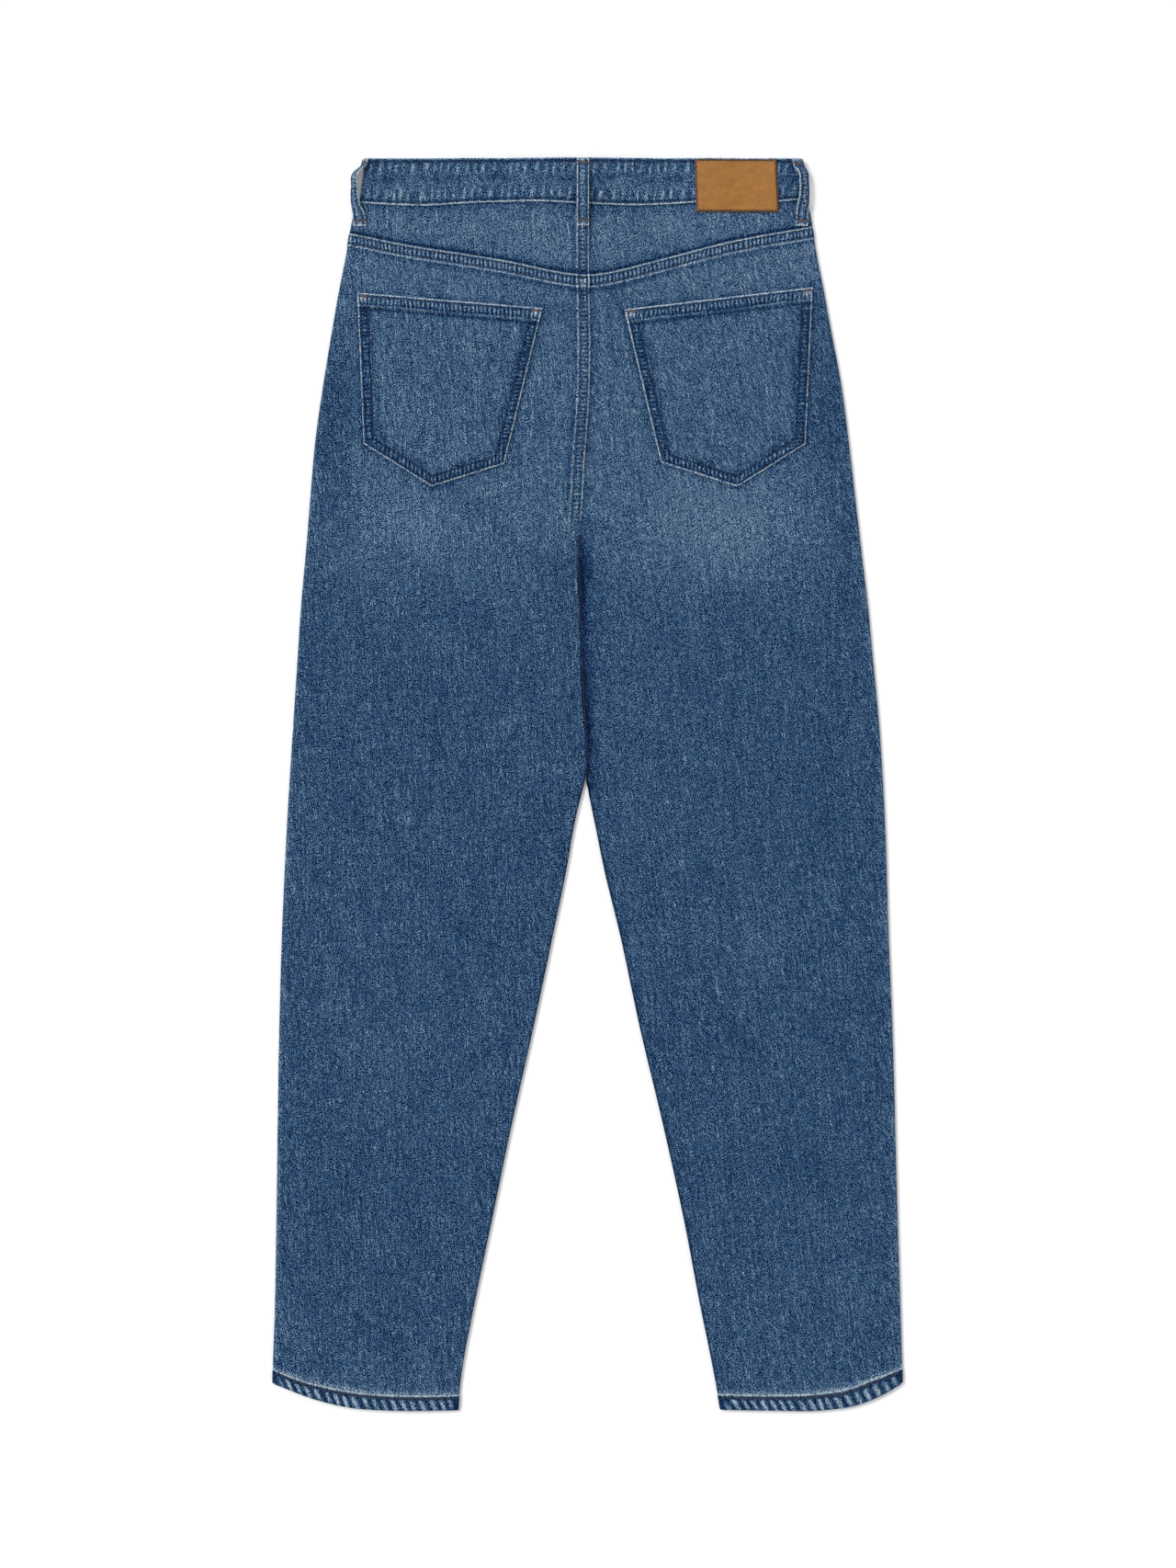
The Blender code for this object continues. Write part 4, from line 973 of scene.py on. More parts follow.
def pocketTop(side, x, down):
    # The cloth beneath, the pocket's own wall, a doubled hem, turned edges, sewing and ripples.
    fromTop, fromEdge = pocketEdge(side, x, down)
    nearest = np.minimum(fromTop, fromEdge)
    doubled = pocket["hemRaise"] * (1 - smooth((fromTop - pocket["hem"]) / 1.2))
    turned = 0.25 * (1 - smooth((fromEdge - pocket["turned"]) / 1.5))
    sunk = sum(bell(fromEdge - row, 0.8) for row in pocket["rows"])
    sunk = sunk + sum(bell(fromTop - row, 0.8) for row in pocket["hemRows"]) * 0.8
    rounded = 0.7 * (1 - smooth(nearest / 1.1))
    waves = unevenWaves(down + 0.4 * x, pocket["rippleLengths"], 31 + side)
    ripples = pocket["ripple"] * waves * bell(fromEdge - 5, 6) * smooth(nearest / 2)
    hemWaves = unevenWaves(x, pocket["rippleLengths"], 41 + side) * bell(fromTop - 6, 6)
    belly = pocket["belly"] * smooth(fromEdge / 45) * smooth(fromTop / 40)
    under = clothHeight(side, x, down) + pocket["gap"]
    raised = doubled + turned + ripples + belly + pocket["ripple"] * hemWaves * smooth(nearest / 2)
    return under + cloth["wall"] + raised - 0.18 * sunk - rounded


def pocketMarks(side, x, down):
    fromTop, fromEdge = pocketEdge(side, x, down)
    nearest = np.minimum(fromTop, fromEdge)
    waves = np.maximum(unevenWaves(down + 0.4 * x, pocket["rippleLengths"], 31 + side), 0)
    seam = 1 - smooth((fromEdge - pocket["turned"]) / 2)
    doubled = 1 - smooth((fromTop - pocket["hem"]) / 1.5)
    slope = smooth((down - pocket["slopeDown"][side]) / 12) * (1 - doubled)
    rubbed = 1.2 * bell(nearest - 0.5, 0.75) + 0.5 * waves * bell(fromEdge - 5, 3)
    rubbed = rubbed + 0.35 * bell(fromEdge - 9.6, 0.7) * (1 - doubled) + 0.4 * bell(fromTop - 10.6, 0.8)
    sewn = sum(bell(fromEdge - row, 0.9) for row in pocket["rows"]) * (1 - 0.7 * doubled)
    sewn = sewn + bell(fromTop - 2.2, 0.9) + bell(fromTop - 9.0, 0.8)
    # Painted shadow where the turned edges step down to the pocket, and a darker one just below the raised
    # top hem.
    step = 0.08 * bell(fromEdge - 12, 2.0) * (1 - doubled)
    step = step + 0.26 * bell(fromTop - pocket["hem"] - 1.2, 1.4)
    shade = 0.17 * seam * (1 - doubled) + 0.03 * doubled
    rubbed = rubbed + 0.8 * bell(fromTop - 4.6, 2.6) * bell(fromEdge - 4.4, 2.8)
    return {
        "fade": washAndShadow(x, down) - 0.01 - 0.30 * sewn - step - shade, "rubbed": rubbed,
        "ticksAcross": bell(fromTop - 5.8, 3.2) + 0.9 * slope * bell(fromEdge - 5, 3.2),
        "ticksAlong": 0.55 * bell(fromEdge - 5, 3.2) * (1 - slope) * (1 - doubled)}


def buildPocket(side):
    # A grid from the top edge down to the pointed lower edge, closer together along its seams.
    name = "pocket_" + sideNames[side]
    x, down = pocketCorners[side]["x"], pocketCorners[side]["down"]
    near = np.array([0, 0.4, 0.9, 1.4, 1.9, 2.5, 3.6, 5.0, 6.4, 7.6, 8.4, 9.2, 10.2, 11.4]) / 150
    shares = np.concatenate([near, np.linspace(0.09, 0.91, 58), 1 - near[::-1]])
    point = (x[3] - x[4]) / (x[2] - x[4])
    shares[np.argmin(np.abs(shares - point))] = point
    rows = np.concatenate([
        np.array([0, 0.4, 0.9, 1.5, 2.0, 2.6, 3.3, 4.5, 6, 8, 9.6, 10.6, 11.2, 11.8, 12.4, 13.2]) / 135,
        np.linspace(0.11, 0.90, 56), 1 - near[::-1] * 1.1])[:, None]
    topX, topDown = x[0] + (x[1] - x[0]) * shares, down[0] + (down[1] - down[0]) * shares
    lowX = x[4] + (x[2] - x[4]) * shares
    lowDown = np.interp(lowX, x[[4, 3, 2]], down[[4, 3, 2]])
    gridX, gridDown = topX + (lowX - topX) * rows, topDown + (lowDown - topDown) * rows
    over = pocketTop(side, gridX, gridDown)
    under = clothHeight(side, gridX, gridDown) + pocket["gap"]
    marks = pocketMarks(side, gridX, gridDown)
    piece = clothPiece(
        name + "_cloth", place(gridX, gridDown, over), place(gridX, gridDown, under), marks,
        denim[side])
    return standFor(piece, name)


# Leg hems

hem = {
    "deep": 13, "wide": 155, "proud": 0.5, "waves": 19, "high": 0.9, "slant": 6.5, "row": 2.7,
    "bend": (31, 47), "swing": (23, 37, 51),
}


def hemDown(side, share, depth):
    line = follow(hemLine[side], "share", share, "down")
    return line + (follow(hemEdge[side], "share", share, "down") - line) * depth


def hemRidges(side, x, along, depth):
    # Roping: ridges that lean across the hem, uneven in height and spacing.
    turns = hem["waves"] * (along - side * hem["slant"] * depth / hem["wide"])
    turns = turns + 0.14 * unevenWaves(x, hem["bend"], 61 + side)
    ends = np.sin(np.pi / 2 * np.clip(np.minimum(along, 1 - along) * hem["waves"], 0, 1))
    uneven = 0.85 + 0.15 * unevenWaves(x, hem["swing"], 71 + side)
    return ends * uneven * (0.5 + 0.5 * np.cos(2 * np.pi * turns))


def buildHem(side):
    # A ring of turned cloth round the end of a leg.
    name = "hem_" + sideNames[side]
    radius, wall = cloth["foldRadius"] + hem["proud"] / 2, cloth["wall"] + hem["proud"]
    depth = np.array([
        0, 0.03, 0.07, 0.11, 0.15, 0.18, 0.22, 0.27, 0.33, 0.41, 0.49, 0.57, 0.65, 0.73,
        0.80, 0.86, 0.90, 0.94, 0.97, 1.0])[:, None]
    along, frontAlong = np.linspace(0, 1, 180)[None, :], np.linspace(1, 0, 42)[None, 1:-1]
    innerDown, outerDown = hemDown(side, 0.0, depth), hemDown(side, 1.0, depth)
    legInner, legOuter = innerEdge(side, innerDown), outerEdge(side, outerDown)
    innerX, outerX = legInner - side * hem["proud"] / 2, legOuter + side * hem["proud"] / 2
    first, last = innerX + side * radius, outerX - side * radius
    x, frontX = first + (last - first) * along, first + (last - first) * frontAlong
    down = hemDown(side, (x - legInner) / (legOuter - legInner), depth)
    frontDown = hemDown(side, (frontX - legInner) / (legOuter - legInner), depth)
    body = clothHeight(side, x, down)
    ridges = hemRidges(side, x, along, depth)
    strength = 0.35 + 0.65 * np.minimum(smooth(depth / 0.3), smooth((1 - depth) / 0.25))
    fromTop, fromEnd = depth * hem["deep"], hem["deep"] - depth * hem["deep"]
    sunk = 0.35 * bell(fromTop - hem["row"], 0.9)
    rounded = 0.5 * (1 - smooth(fromTop / 1.0)) + 0.6 * (1 - smooth(fromEnd / 1.3))
    puff = hem["high"] * strength * ridges
    top = body + hem["proud"] + puff - sunk - rounded
    outerOut, outerIn = foldArc(outerX, side, radius, wall, -rounded)
    innerOut, innerIn = foldArc(innerX, -side, radius, wall, -rounded)
    downs = join(
        down, np.repeat(outerDown, foldTurns, axis=1), frontDown,
        np.repeat(innerDown, foldTurns, axis=1))
    outside = place(
        join(x, outerOut[0][:, 1:], frontX, innerOut[0][:, :0:-1]), downs,
        join(top, outerOut[1][:, 1:], 0 * frontX, innerOut[1][:, :0:-1]))
    inside = place(
        join(x, outerIn[0][:, 1:], frontX, innerIn[0][:, :0:-1]), downs,
        join(body - cloth["wall"], outerIn[1][:, 1:], wall + 0 * frontX, innerIn[1][:, :0:-1]))
    across = outside[..., 0]
    share = np.clip((across - first) / (last - first), 0, 1)
    onRidge = hemRidges(side, across, share, depth) ** 1.3
    below = smooth((fromTop - 3.6) / 1.2)
    rubbed = 1.1 * bell(fromTop - 0.4, 1.2) + 1.1 * onRidge * below * (1 - 0.4 * bell(fromEnd, 1.5))
    row = bell(fromTop - hem["row"], 1.4)
    marks = {
        "fade": washAndShadow(across, downs) - 0.34 * row - 0.26 * (1 - onRidge) * below + 0.02,
        "rubbed": rubbed}
    piece = clothPiece(name + "_cloth", outside, inside, marks, denim[side], ring=True)
    return standFor(piece, name)


# Belt loops

loop = {"length": 57, "wall": 1.3, "half": 5.1, "crown": 0.25, "centerX": -4.3, "stations": 70}
centerLoop = table("down gap", [
    (0.6, 0.3), (6.5, 0.3), (10.5, 2.6), (15, 4.6), (22, 4.9), (36, 4.9), (43, 4.7),
    (47, 3.1), (51, 1.3), (57.5, 1.1)])
sideLoops = {
    left: table("down x1 z1 x2 z2", [
        (0.8, -186.4, 9.2, -191.5, 0.4), (6.5, -187.6, 9.3, -192.6, 0.4),
        (12, -193.7, 9.6, -199.0, 0.4), (24, -195.0, 9.8, -200.8, 0.5),
        (33, -194.3, 9.6, -201.2, 1.2), (40, -192.9, 9.0, -200.8, 3.4),
        (46, -190.2, 7.2, -199.9, 5.0), (51, -188.9, 5.3, -199.4, 5.0),
        (57.5, -188.3, 5.0, -198.6, 4.9)]),
    right: table("down x1 z1 x2 z2", [
        (0.8, 173.6, 5.4, 182.5, 5.2), (6.5, 174.4, 6.6, 183.8, 5.4),
        (13, 178.2, 11.2, 186.6, 6.2), (20, 179.0, 12.6, 187.3, 6.6),
        (31, 179.0, 12.6, 187.6, 6.6), (38, 177.8, 10.6, 187.5, 6.2),
        (44, 176.9, 7.4, 187.0, 5.4), (50, 176.5, 5.4, 186.6, 5.0),
        (57.5, 176.3, 5.1, 186.4, 4.8)]),
}


def loopEdges(rows):
    # The two long edges of a hip loop's lower face, through the rows of its table.
    down = np.linspace(rows["down"][0], rows["down"][-1], loop["stations"])
    first = place(follow(rows, "down", down, "x1"), down, follow(rows, "down", down, "z1"))
    second = place(follow(rows, "down", down, "x2"), down, follow(rows, "down", down, "z2"))
    return first, second


def centerLoopEdges():
    rows = centerLoop
    down = np.linspace(rows["down"][0], rows["down"][-1], loop["stations"])
    z = bandHeight(loop["centerX"], down) + follow(rows, "down", down, "gap")
    return tuple(place(loop["centerX"] + offset, down, z) for offset in (-loop["half"], loop["half"]))


def loopSurface(edges, across):
    # Upper face of a loop at shares across it: lower face + normal * (wall + crown - rounding).
    first, second = edges
    forward = np.gradient((first + second) / 2, axis=0)
    normal = np.cross(second - first, forward)
    normal = normal / np.linalg.norm(normal, axis=1)[:, None]
    normal = normal * np.where(normal[:, 2:3] == 0, 1, np.sign(normal[:, 2:3]))
    width = np.linalg.norm(second - first, axis=1)[:, None]
    away = np.minimum(across, 1 - across)[None, :] * width
    along = np.linspace(0, loop["length"], len(first))[:, None]
    thick = loop["wall"] + loop["crown"] * np.sin(np.pi * across)[None, :]
    thick = thick - 0.45 * (1 - smooth(away / 0.9)) - 0.12 * bell(away - 1.8, 0.6)
    thick = thick + 0.08 * unevenWaves(along + 6 * across[None, :], (5.3, 7.7), 91)
    under = first[:, None, :] + (second - first)[:, None, :] * across[None, :, None]
    return under, under + normal[:, None, :] * thick[..., None], away, along


def buildLoop(name, edges):
    across = np.array([0, 0.05, 0.1, 0.16, 0.22, 0.32, 0.42, 0.5, 0.58, 0.68, 0.78, 0.84, 0.9, 0.95, 1])
    under, over, away, along = loopSurface(edges, across)
    ends = np.minimum(along, loop["length"] - along)
    rubbed = 0.95 * bell(away - 0.2, 0.8) + 1.2 * bell(ends, 1.2) + 0.25 * bell(away - 5, 2)
    marks = {
        "fade": 0.44 - 0.32 * bell(away - 1.8, 0.9) - 0.2 * bell(ends - 5.4, 1) + 0 * along,
        "rubbed": rubbed, "ticksAlong": 0.35 * bell(away - 5, 3)}
    piece = clothPiece(name + "_cloth", over, under, marks, denim[left])
    return standFor(piece, name)


def buildFrontLoop(side):
    # Pressed flat under the front of the waistband.
    name = "loop_front_" + sideNames[side]
    down = np.linspace(0.6, frontLoop["length"], 36)[:, None]
    offset = np.linspace(-frontLoop["half"], frontLoop["half"], 11)[None, :]
    under = place(side * frontLoop["x"] + offset, down, 0.0)
    away = frontLoop["half"] - np.abs(offset)
    marks = {"fade": 0.42, "rubbed": 0.7 * bell(away - 0.3, 0.8), "ticksAlong": 0.4}
    over = under + np.array([0, 0, frontLoop["wall"]])
    piece = clothPiece(name + "_cloth", under, over, marks, denim[left], faceUp=False)
    return standFor(piece, name)


# Leather patch

patch = {"wide": 70, "tall": 44.5, "wall": 1.2, "gap": 0.35, "row": 1.1, "wave": 0.12}
patchCorners = table("x down", [(90.5, 1.2), (160.1, 1.2), (162.2, 45.5), (91.9, 45.9)])


def patchPlace(across, below):
    # Shares across and down the patch to x and distance down.
    x, down = patchCorners["x"], patchCorners["down"]
    topX, lowX = x[0] + (x[1] - x[0]) * across, x[3] + (x[2] - x[3]) * across
    return topX + (lowX - topX) * below, down[0] + (down[3] - down[0]) * below + 0 * across


def patchEdge(across, below):
    # Distance from the nearest edge.
    fromSide = np.minimum(across, 1 - across) * patch["wide"]
    return np.minimum(fromSide, np.minimum(below, 1 - below) * patch["tall"])


def patchTop(across, below):
    # Rounded edges, a line pressed in by the sewing, and a slight wave.
    x, down = patchPlace(across, below)
    away = patchEdge(across, below)
    wave = patch["wave"] * unevenWaves(x + 0.6 * down, (19, 27, 41), 7) * smooth(away / 6)
    pressed = 0.22 * bell(away - patch["row"], 0.7)
    rounded = 0.4 * (1 - smooth(away / 0.8))
    return bandHeight(x, down) + patch["gap"] + patch["wall"] + wave - pressed - rounded


def buildPatch():
    near = np.array([0, 0.3, 0.7, 1.2, 1.8, 2.3, 2.8, 3.6, 5.0])
    nearSide, nearTop = near / patch["wide"], near / patch["tall"]
    across = np.concatenate([nearSide, np.linspace(0.1, 0.9, 40), 1 - nearSide[::-1]])[None, :]
    below = np.concatenate([nearTop, np.linspace(0.15, 0.85, 24), 1 - nearTop[::-1]])[:, None]
    x, down = patchPlace(across, below)
    away = patchEdge(across, below)
    under = bandHeight(x, down) + patch["gap"]
    marks = {"burnish": bell(away, 1.1) + 0.5 * bell(away - patch["row"], 0.8)}
    piece = clothPiece(
        "patch_leather", place(x, down, patchTop(across, below)), place(x, down, under), marks,
        leather)
    return standFor(piece, "patch")


print("cutting the backs and yokes")
backs, yokes = pair(buildBack), pair(buildYoke)
print("making the waistband, pockets, hems, loops and patch")
waistband = buildWaistband()
pockets, hems = pair(buildPocket), pair(buildHem)
centerLoopPiece = buildLoop("loop_center", centerLoopEdges())
hipLoops = pair(
    lambda side: buildLoop("loop_back_" + sideNames[side], loopEdges(sideLoops[side])))
frontLoops = pair(buildFrontLoop)
patchPiece = buildPatch()


# Front panels, flat on the surface beneath the back

front = {
    "top": 37.3, "fly": 6.0, "zipEnd": 172.0, "scoopWide": 67.0, "scoopDeep": 76.0,
    "facingWall": 1.0, "rows": (2.0, 8.2), "flyRows": (30.0, 36.0), "flyCurve": 45,
}
frontFolds = {
    left: table("x1 down1 x2 down2 wide high", [
        (-60, 250, -160, 330, 12, 0.5), (-30, 300, -110, 420, 10, 0.6),
        (-220, 380, -150, 500, 14, 0.5), (-110, 560, -180, 660, 12, 0.6),
        (-90, 720, -170, 800, 14, 0.5), (-220, 860, -150, 960, 12, 0.6)]),
    right: table("x1 down1 x2 down2 wide high", [
        (50, 240, 150, 320, 12, 0.5), (30, 310, 100, 430, 10, 0.6),
        (210, 400, 140, 520, 14, 0.5), (90, 590, 190, 640, 12, 0.6),
        (110, 740, 160, 850, 14, 0.5), (230, 880, 160, 950, 12, 0.6)]),
}


def scoopEdge(side, down):
    # Edge of the front pocket's opening: a quarter of an ellipse out to the side seam.
    seam = outerEdge(side, down) - side * (cloth["lip"] + cloth["gap"])
    start = outerEdge(side, front["top"]) - side * (cloth["lip"] + front["scoopWide"])
    share = np.clip((down - front["top"]) / front["scoopDeep"], 0, 1)
    return seam + (start - seam) * np.sqrt(1 - share**2)


def frontUnder(side, x, down):
    # Lower face of a front: flat on the surface but for bumps and soft folds lifted off it.
    low = smooth((down - 190) / 60) * (1 - smooth((down - 1000) / 40))
    fromOuter = smooth((np.abs(outerEdge(side, down) - x) - 16) / 20)
    fromInner = smooth((np.abs(x - foldLine(side, down)) - 16) / 20)
    return frontBumps(x, down) + foldsAt(frontFolds[side], x, down) * low * fromOuter * fromInner


def buildFront(side):
    # From the fly to the inseam and out to the side seam, with the scoop cut out of its corner.
    name = "front_" + sideNames[side]
    scoopEnd, blendEnd, crotch = 114.0, 140.0, cloth["crotch"]
    levels = np.concatenate([
        np.linspace(front["top"], scoopEnd, 34), np.linspace(scoopEnd, crotch, 44)[1:],
        np.linspace(crotch, cloth["hemLevel"], 150)[1:]])[:, None]
    slanted = backDown(side)
    blend = np.clip((levels - scoopEnd) / (blendEnd - scoopEnd), 0, 1)
    innerDown = levels + blend * (slanted(levels, 0.0) - levels)
    outerDown = levels + blend * (slanted(levels, 1.0) - levels)
    foldX = foldLine(side, innerDown)
    innerX, outerX = foldX + side * (cloth["lip"] + cloth["gap"]), scoopEdge(side, outerDown)
    crotchX = (float(innerEdge(left, crotch)) + float(innerEdge(right, crotch))) / 2
    flyX = front["fly"] + (cloth["gap"] if side == right else 0)
    crotchX = crotchX + side * cloth["gap"] / 2
    toCrotch = smooth((innerDown - front["zipEnd"]) / (crotch - front["zipEnd"]))
    middle = flyX + (crotchX - flyX) * toCrotch
    near = np.array([0.6, 1.3, 2.0, 3.2, 5.0, 8.2])
    between = outerX - innerX - side * 2 * near[-1]
    x = np.concatenate([
        middle + (innerX - middle) * np.linspace(0, 1, 4)[None, :-1], innerX,
        innerX + side * near, innerX + side * near[-1] + between * np.linspace(0, 1, 46)[None, 1:-1],
        outerX - side * near[::-1], outerX], axis=1)
    span = (x - foldX) / (outerEdge(side, outerDown) - foldX)
    down = levels + blend * (slanted(levels, span) - levels)
    down[np.isclose(levels[:, 0], crotch), :4] -= cloth["gap"]
    down[-1] -= cloth["gap"]
    under = frontUnder(side, x, down)
    fromInner = np.where(levels < crotch, np.abs(x - middle), np.abs(x - innerX))
    fromEdge = np.minimum(np.abs(x - outerX), fromInner)
    rounded = 0.4 * (1 - smooth(fromEdge / 0.9))
    keep = np.ones((len(levels) - 1, x.shape[1] - 1), bool)
    keep[levels[1:, 0] > crotch + 0.01, :3] = False
    scoop = levels < scoopEnd
    rubbed = 0.7 * bell(fromEdge - 0.5, 0.9) + 0.15 * bell(np.abs(x - outerX) - 5, 4) * scoop
    light = washAndShadow(x, down) + 0.05 * bell(x - side * 130, 60) * bell(down - 330, 130)
    marks = {
        "fade": light - 0.05 * bell(fromEdge - 2, 0.9) - 0.05 * bell(fromEdge - 8.2, 0.9),
        "rubbed": rubbed, "ticksAlong": 0.4 * bell(fromEdge - 5, 4)}
    piece = clothPiece(
        name + "_cloth", place(x, down, under + rounded), place(x, down, under + cloth["wall"]),
        marks, denim[side], keep, faceUp=False)
    return standFor(piece, name)


def buildFacing(side):
    # The cloth seen in the scoop of a front pocket, behind the front panel.
    name = "facing_" + sideNames[side]
    levels = front["top"] + np.linspace(1.5, 92, 40)[:, None]
    start = float(outerEdge(side, front["top"])) - side * (cloth["lip"] + front["scoopWide"] + 16)
    end = outerEdge(side, levels) - side * 5
    x = start + (end - start) * np.linspace(0, 1, 40)[None, :]
    lower = cloth["wall"] + cloth["gap"] + frontBumps(x, levels)
    piece = clothPiece(
        name + "_cloth", place(x, levels, lower), place(x, levels, lower + front["facingWall"]),
        {"fade": 0.33}, denim[side], faceUp=False)
    return standFor(piece, name)


print("laying the fronts")
fronts, facings = pair(buildFront), pair(buildFacing)
for name, finish in (("button", brass), ("zip_slider", brass), ("zip_tape", zipTape)):
    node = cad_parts[name]
    node.data.materials.clear()
    node.data.materials.append(finish)


# Sewing

sewing = {
    "step": 3.3, "length": 2.7, "width": 0.95, "high": 0.5, "highBeneath": 0.1, "uneven": 0.12,
}


def spindles(path, turn, up, size, seed):
    # Stitches along a path of points. Each is a spindle: four-sided rings whose half width is
    # sqrt(1 - 0.85 u^2), sinking at both ends, turned from the path by an angle in degrees.
    high = size["high"]
    steps = np.linalg.norm(np.diff(path, axis=0), axis=1)
    reach = np.concatenate([[0], np.cumsum(steps)])
    count = max(int(reach[-1] / size["step"]), 1)
    at = (np.arange(count) + 0.5) * reach[-1] / count
    random = np.random.default_rng(seed)
    at = at + random.uniform(-1, 1, count) * size["step"] * size["uneven"]
    here, later, earlier = [
        np.stack([np.interp(at + ahead, reach, path[:, i]) for i in range(3)], axis=1)
        for ahead in (0, 0.4, -0.4)]
    along = later - earlier
    along = along / np.linalg.norm(along, axis=1)[:, None]
    upward = np.array([0, 0, float(up)])
    across = np.cross(upward, along)
    across = across / np.linalg.norm(across, axis=1)[:, None]
    angle = np.radians(turn + random.uniform(-4, 4, count))[:, None]
    direction = along * np.cos(angle) + across * np.sin(angle)
    beside = np.cross(upward, direction)
    u = np.array([-1, -0.6, 0, 0.6, 1])
    wide = np.sqrt(1 - 0.85 * u**2)
    rise = high * (0.55 - 1.15 * u**2)
    corners = np.array([[-1, 0], [0, 1], [1, 0], [0, -1]])
    longer = random.uniform(0.9, 1.1, count)[:, None, None]
    lengthwise = (u[:, None] + 0 * corners[None, :, 0])[None] * size["length"] / 2 * longer
    sideways = (wide[:, None] * corners[None, :, 0])[None] * size["width"] / 2
    upwards = (wide[:, None] * corners[None, :, 1] * high / 2 + rise[:, None])[None]
    points = (
        here[:, None, None, :] + direction[:, None, None, :] * lengthwise[..., None]
        + beside[:, None, None, :] * sideways[..., None] + upward * upwards[..., None])
    ring = np.arange(4)
    belt = np.stack([ring, (ring + 1) % 4, 4 + (ring + 1) % 4, 4 + ring], axis=1)
    ends = np.array([[3, 2, 1, 0], [16, 17, 18, 19]])
    faces = np.concatenate([belt + 4 * k for k in range(4)] + [ends])
    faces = faces[None] + 20 * np.arange(count)[:, None, None]
    return points.reshape(-1, 3), faces.reshape(-1, 4)


def sew(name, runs, material):
    # Joins the stitches of several runs into one piece.
    points, faces, total = [], [], 0
    for i, (path, turn, up, size) in enumerate(runs):
        made, sides = spindles(path, turn, up, {**sewing, **size}, i + 1)
        points.append(made)
        faces.append(sides + total)
        total += len(made)
    faces = np.concatenate(faces)[:, ::-1]
    piece = addMesh(name, np.concatenate(points), faces, material)
    return piece


tackSize = {"turn": 82.0, "step": 0.62, "length": 2.3, "width": 0.62, "high": 0.45, "lift": 0.15}


def run(path, turn=0.0, up=1, **size):
    # Stitches along a path, turned from it in degrees, seen from above or, with up -1, from below.
    return path, turn, up, size


def runBeneath(x, down, z, **size):
    # Stitches on the underside, flatter than those above.
    return run(place(x, down, z), up=-1, high=sewing["highBeneath"], **size)


def tackRun(path):
    return run(path + np.array([0, 0, tackSize["lift"]]), **tackSize)


def tack(start, end, topAt):
    # A bar tack: close stitches across a short bar between two places.
    share = np.linspace(0, 1, 9)
    x, down = start[0] + (end[0] - start[0]) * share, start[1] + (end[1] - start[1]) * share
    return tackRun(place(x, down, topAt(x, down)))


def backSeamRuns():
    # Two rows along each felled seam of the seat.
    runs = []
    for side in (left, right):
        downAt = backDown(side)
        share = np.linspace(0.012, 0.992, 240)
        for row in felled["rows"]:
            rowLevel = cloth["seamLevel"] + row
            level = downAt(rowLevel, share)
            innerX = float(innerEdge(side, float(downAt(rowLevel, 0.0))))
            outerX = float(outerEdge(side, float(downAt(rowLevel, 1.0))))
            x = innerX + (outerX - innerX) * share
            runs.append(run(place(x, level, backTop(side, x, level))))
    for row in felled["rows"]:
        for start, end, topAt in ((42.0, 97.5, yokeTop), (101.0, 318.0, backTop)):
            down = np.linspace(start, end, 120)
            x = follow(centerSeam, "down", down, "x") - row
            runs.append(run(place(x, down, topAt(left, x, down))))
    return runs


def bandRuns():
    runs = []
    for start, end in ((-184.5, 89.0), (163.5, 178.0)):
        x = np.linspace(start, end, 200)
        low = follow(bandEdge, "x", x, "down")
        for down in (band["rows"][0] + 0 * x, low - band["rows"][1]):
            runs.append(run(place(x, down, bandHeight(x, down) + bandRelief(x, down, low))))
    for start, end, raised in ((4.0, -160.0, 0), (160.0, -34.0, 1)):
        x = np.linspace(start, end, 200)
        for down in band["frontRows"]:
            runs.append(runBeneath(x, down, frontBumps(x, down) + raised * underlapLift(x)))
    return runs


def insetPocket(side, amount, topAmount):
    # Corners of the pocket's outline moved inwards: where neighbouring inset edges cross.
    corners = np.stack([pocketCorners[side]["x"], pocketCorners[side]["down"]], axis=1)
    following = np.roll(corners, -1, axis=0)
    forward = (following - corners) / np.linalg.norm(following - corners, axis=1)[:, None]
    inward = np.stack([-forward[:, 1], forward[:, 0]], axis=1)
    offset = np.sum(inward * corners, axis=1) + np.array([topAmount] + [amount] * 4)
    before = np.roll(np.arange(5), 1)
    return np.array([
        np.linalg.solve(np.stack([inward[before[i]], inward[i]]), [offset[before[i]], offset[i]])
        for i in range(5)])


def pocketRuns(side):
    # Two rows round the sides and point, and two across the hem at the top.
    lines = []
    for row in pocket["rows"]:
        corners = insetPocket(side, row, 0.8)
        order = corners[[1, 2, 3, 4, 0]]
        for start, end in zip(order[:-1], order[1:]):
            lines.append((start, end))
    for row in pocket["hemRows"]:
        corners = insetPocket(side, 1.2, row)
        lines.append((corners[0], corners[1]))
    runs = []
    for start, end in lines:
        x, down = (start + (end - start) * np.linspace(0, 1, 90)[:, None]).T
        runs.append(run(place(x, down, pocketTop(side, x, down))))
    return runs


def pocketTacks(side):
    # A bar tack along the top edge at each upper corner.
    outer, inner = insetPocket(side, 1.3, 2.6), insetPocket(side, 8.8, 2.6)

    def topAt(x, down):
        return pocketTop(side, x, down)

    return [tack(outer[0], inner[0], topAt), tack(inner[1], outer[1], topAt)]


